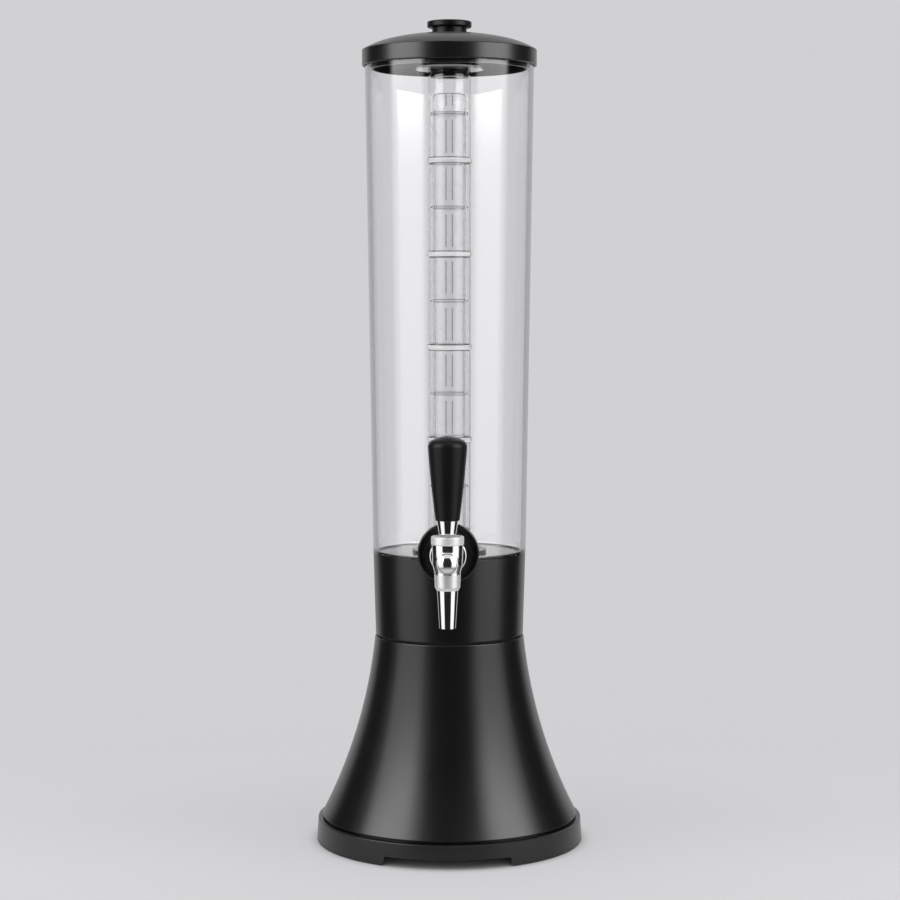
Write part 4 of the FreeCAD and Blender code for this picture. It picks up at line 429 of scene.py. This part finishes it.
def floor_material():
    """Pale floor that fades into the backdrop, and has a share of its own glow outside the foot."""
    material, tree, shader = new_material("floor", Roughness=0.9, Specular_IOR_Level=0.1)
    feed(tree, shader, Base_Color=between(tree, noise(tree, 40, 3), FLOOR, FLOOR_PATCHES))
    across, back, _ = axial(tree)
    distance = from_axis(tree, across, back)
    behind = ramp(tree, back, *FLOOR_GLOW_TURN, smooth=True)
    glow = add(tree, "ShaderNodeEmission", {"Color": between(tree, behind, FLOOR_GLOW, FLOOR_GLOW_BACK)})
    clear_of_foot = ramp(tree, distance, *FLOOR_GLOW_START, smooth=True)
    glowing = maths(tree, "MULTIPLY", seen_by_eye(tree), clear_of_foot)
    lit = mixed(tree, maths(tree, "MULTIPLY", glowing, FLOOR_GLOW_SHARE), shader, glow)
    fade = ramp(tree, distance, *FLOOR_FADE, smooth=True)
    show(tree, mixed(tree, fade, lit, add(tree, "ShaderNodeBsdfTransparent")))
    return material


def make_floor():
    """A round floor, in rings of faces round the tower."""
    points = [TOWER]
    faces = []
    for ring in range(FLOOR_RINGS):
        radius = FLOOR_RADIUS * (ring + 1) / FLOOR_RINGS
        first = 1 + ring * FLOOR_SIDES
        for side in range(FLOOR_SIDES):
            turn = 2 * math.pi * side / FLOOR_SIDES
            points.append(TOWER + radius * Vector((math.cos(turn), math.sin(turn), 0)))
            here = first + side
            there = first + (side + 1) % FLOOR_SIDES
            inner = (0,) if ring == 0 else (there - FLOOR_SIDES, here - FLOOR_SIDES)
            faces.append((here, there, *inner))
    stage_mesh("floor", points, faces, floor_material())


# ---------------------------------------------------------------- studio that only reflections show

def towards(turn, rise=0.0):
    """The direction from the tower's axis at an azimuth, which is 0 in front of the tap, and a rise."""
    return Vector((math.cos(rise) * math.sin(turn), -math.cos(rise) * math.cos(turn), math.sin(rise)))


def grid_faces(columns, rows):
    """Faces between points that are listed row by row."""
    corners = [row * (columns + 1) + column for row in range(rows) for column in range(columns)]
    return [(corner, corner + 1, corner + columns + 2, corner + columns + 1) for corner in corners]


def studio_wall(name, points, faces):
    """A studio piece with a node material that has nothing on its surface yet."""
    material = bpy.data.materials.new(name)
    material.use_nodes = True
    return stage_mesh(name, points, faces, material)


def mirrored_only(piece, strength):
    """Gives a studio piece a glow that shows in reflections alone, those inside clear walls among them."""
    material = piece.data.materials[0]
    material.cycles.emission_sampling = "NONE"
    tree = material.node_tree
    glow = add(tree, "ShaderNodeEmission", {"Strength": strength})
    reflected = maths(tree, "GREATER_THAN", add(tree, "ShaderNodeLightPath").outputs["Glossy Depth"], 0.5)
    show(tree, mixed(tree, reflected, add(tree, "ShaderNodeBsdfTransparent"), glow))
    piece.visible_camera = False
    piece.visible_diffuse = False
    piece.visible_shadow = False
    piece.visible_volume_scatter = False


def softbox_glow(tree, span):
    """Strength of a tall softbox, which changes over its height and is softer towards its sides."""
    across, back, level = axial(tree)
    turn = maths(tree, "ARCTAN2", across, maths(tree, "MULTIPLY", back, -1.0))
    middle, half = (span[0] + span[1]) / 2, (span[1] - span[0]) / 2
    off_middle = maths(tree, "ABSOLUTE", maths(tree, "SUBTRACT", turn, middle))
    soft = ramp(tree, maths(tree, "SUBTRACT", half, off_middle), 0.0, SOFTBOX_EDGE, smooth=True)
    profile = add(tree, "ShaderNodeValToRGB", {0: ramp(tree, level, SOFTBOX_BOTTOM, SOFTBOX_TOP)})
    profile.color_ramp.interpolation = "B_SPLINE"
    stops = profile.color_ramp.elements
    while len(stops) < len(SOFTBOX_PROFILE):
        stops.new(0.5)
    for stop, (height, share) in zip(stops, SOFTBOX_PROFILE):
        stop.position = (height - SOFTBOX_BOTTOM) / (SOFTBOX_TOP - SOFTBOX_BOTTOM)
        stop.color = (share, share, share, 1)
    peak = maths(tree, "MULTIPLY", profile.outputs["Color"], SOFTBOX_PEAK)
    return maths(tree, "MULTIPLY", peak, soft)


def make_softbox(name, span):
    """A tall soft light, bent round the tower between two azimuths."""
    turns = [span[0] + (span[1] - span[0]) * column / SOFTBOX_COLUMNS
             for column in range(SOFTBOX_COLUMNS + 1)]
    points = [TOWER + SOFTBOX_DISTANCE * towards(turn) + Vector((0, 0, level))
              for level in (SOFTBOX_BOTTOM, SOFTBOX_TOP) for turn in turns]
    piece = studio_wall(name, points, grid_faces(SOFTBOX_COLUMNS, 1))
    mirrored_only(piece, softbox_glow(piece.data.materials[0].node_tree, span))


def make_overhead():
    """A level panel that joins the two tall softboxes above the camera."""
    left, right = TOWER.x - OVERHEAD_HALF_WIDTH, TOWER.x + OVERHEAD_HALF_WIDTH
    front, back = TOWER.y - OVERHEAD_FRONT, TOWER.y
    points = [(left, front, SOFTBOX_TOP), (right, front, SOFTBOX_TOP),
              (right, back, SOFTBOX_TOP), (left, back, SOFTBOX_TOP)]
    mirrored_only(studio_wall("overhead", points, [(0, 1, 2, 3)]), SOFTBOX_PEAK * OVERHEAD_SHARE)


def make_dark_surround():
    """The dark room on the camera's side, part of a sphere round the tower."""
    rises = [DARK_BOTTOM + (DARK_TOP - DARK_BOTTOM) * row / DARK_ROWS for row in range(DARK_ROWS + 1)]
    turns = [DARK_HALF_WIDTH * (2 * column / DARK_COLUMNS - 1) for column in range(DARK_COLUMNS + 1)]
    points = [TOWER + DARK_RADIUS * towards(turn, rise) for rise in rises for turn in turns]
    mirrored_only(studio_wall("dark_room", points, grid_faces(DARK_COLUMNS, DARK_ROWS)), DARK_LEVEL)


# ---------------------------------------------------------------- camera and render

def make_camera():
    """The photograph's viewpoint."""
    data = bpy.data.cameras.new("camera")
    data.lens = CAMERA_LENS
    camera = bpy.data.objects.new("camera", data)
    bpy.context.scene.collection.objects.link(camera)
    camera.location = TOWER + CAMERA_DISTANCE * towards(CAMERA_AZIMUTH) + Vector((0, 0, CAMERA_HEIGHT))
    camera.rotation_euler = (math.pi / 2 - CAMERA_TILT, 0, CAMERA_HEADING)
    bpy.context.scene.camera = camera


def set_up_render():
    """Plain colours, and enough bounces for light to cross the container and the ice tube."""
    scene = bpy.context.scene
    scene.view_settings.view_transform = "Standard"
    scene.cycles.max_bounces = CLEAR_BOUNCES
    scene.cycles.transmission_bounces = CLEAR_BOUNCES
    scene.cycles.transparent_max_bounces = CLEAR_BOUNCES
    scene.cycles.glossy_bounces = GLOSSY_BOUNCES


dress_nodes()
make_world()
make_floor()
make_softbox("softbox_left", LEFT_SOFTBOX)
make_softbox("softbox_right", RIGHT_SOFTBOX)
make_overhead()
make_dark_surround()
make_camera()
set_up_render()
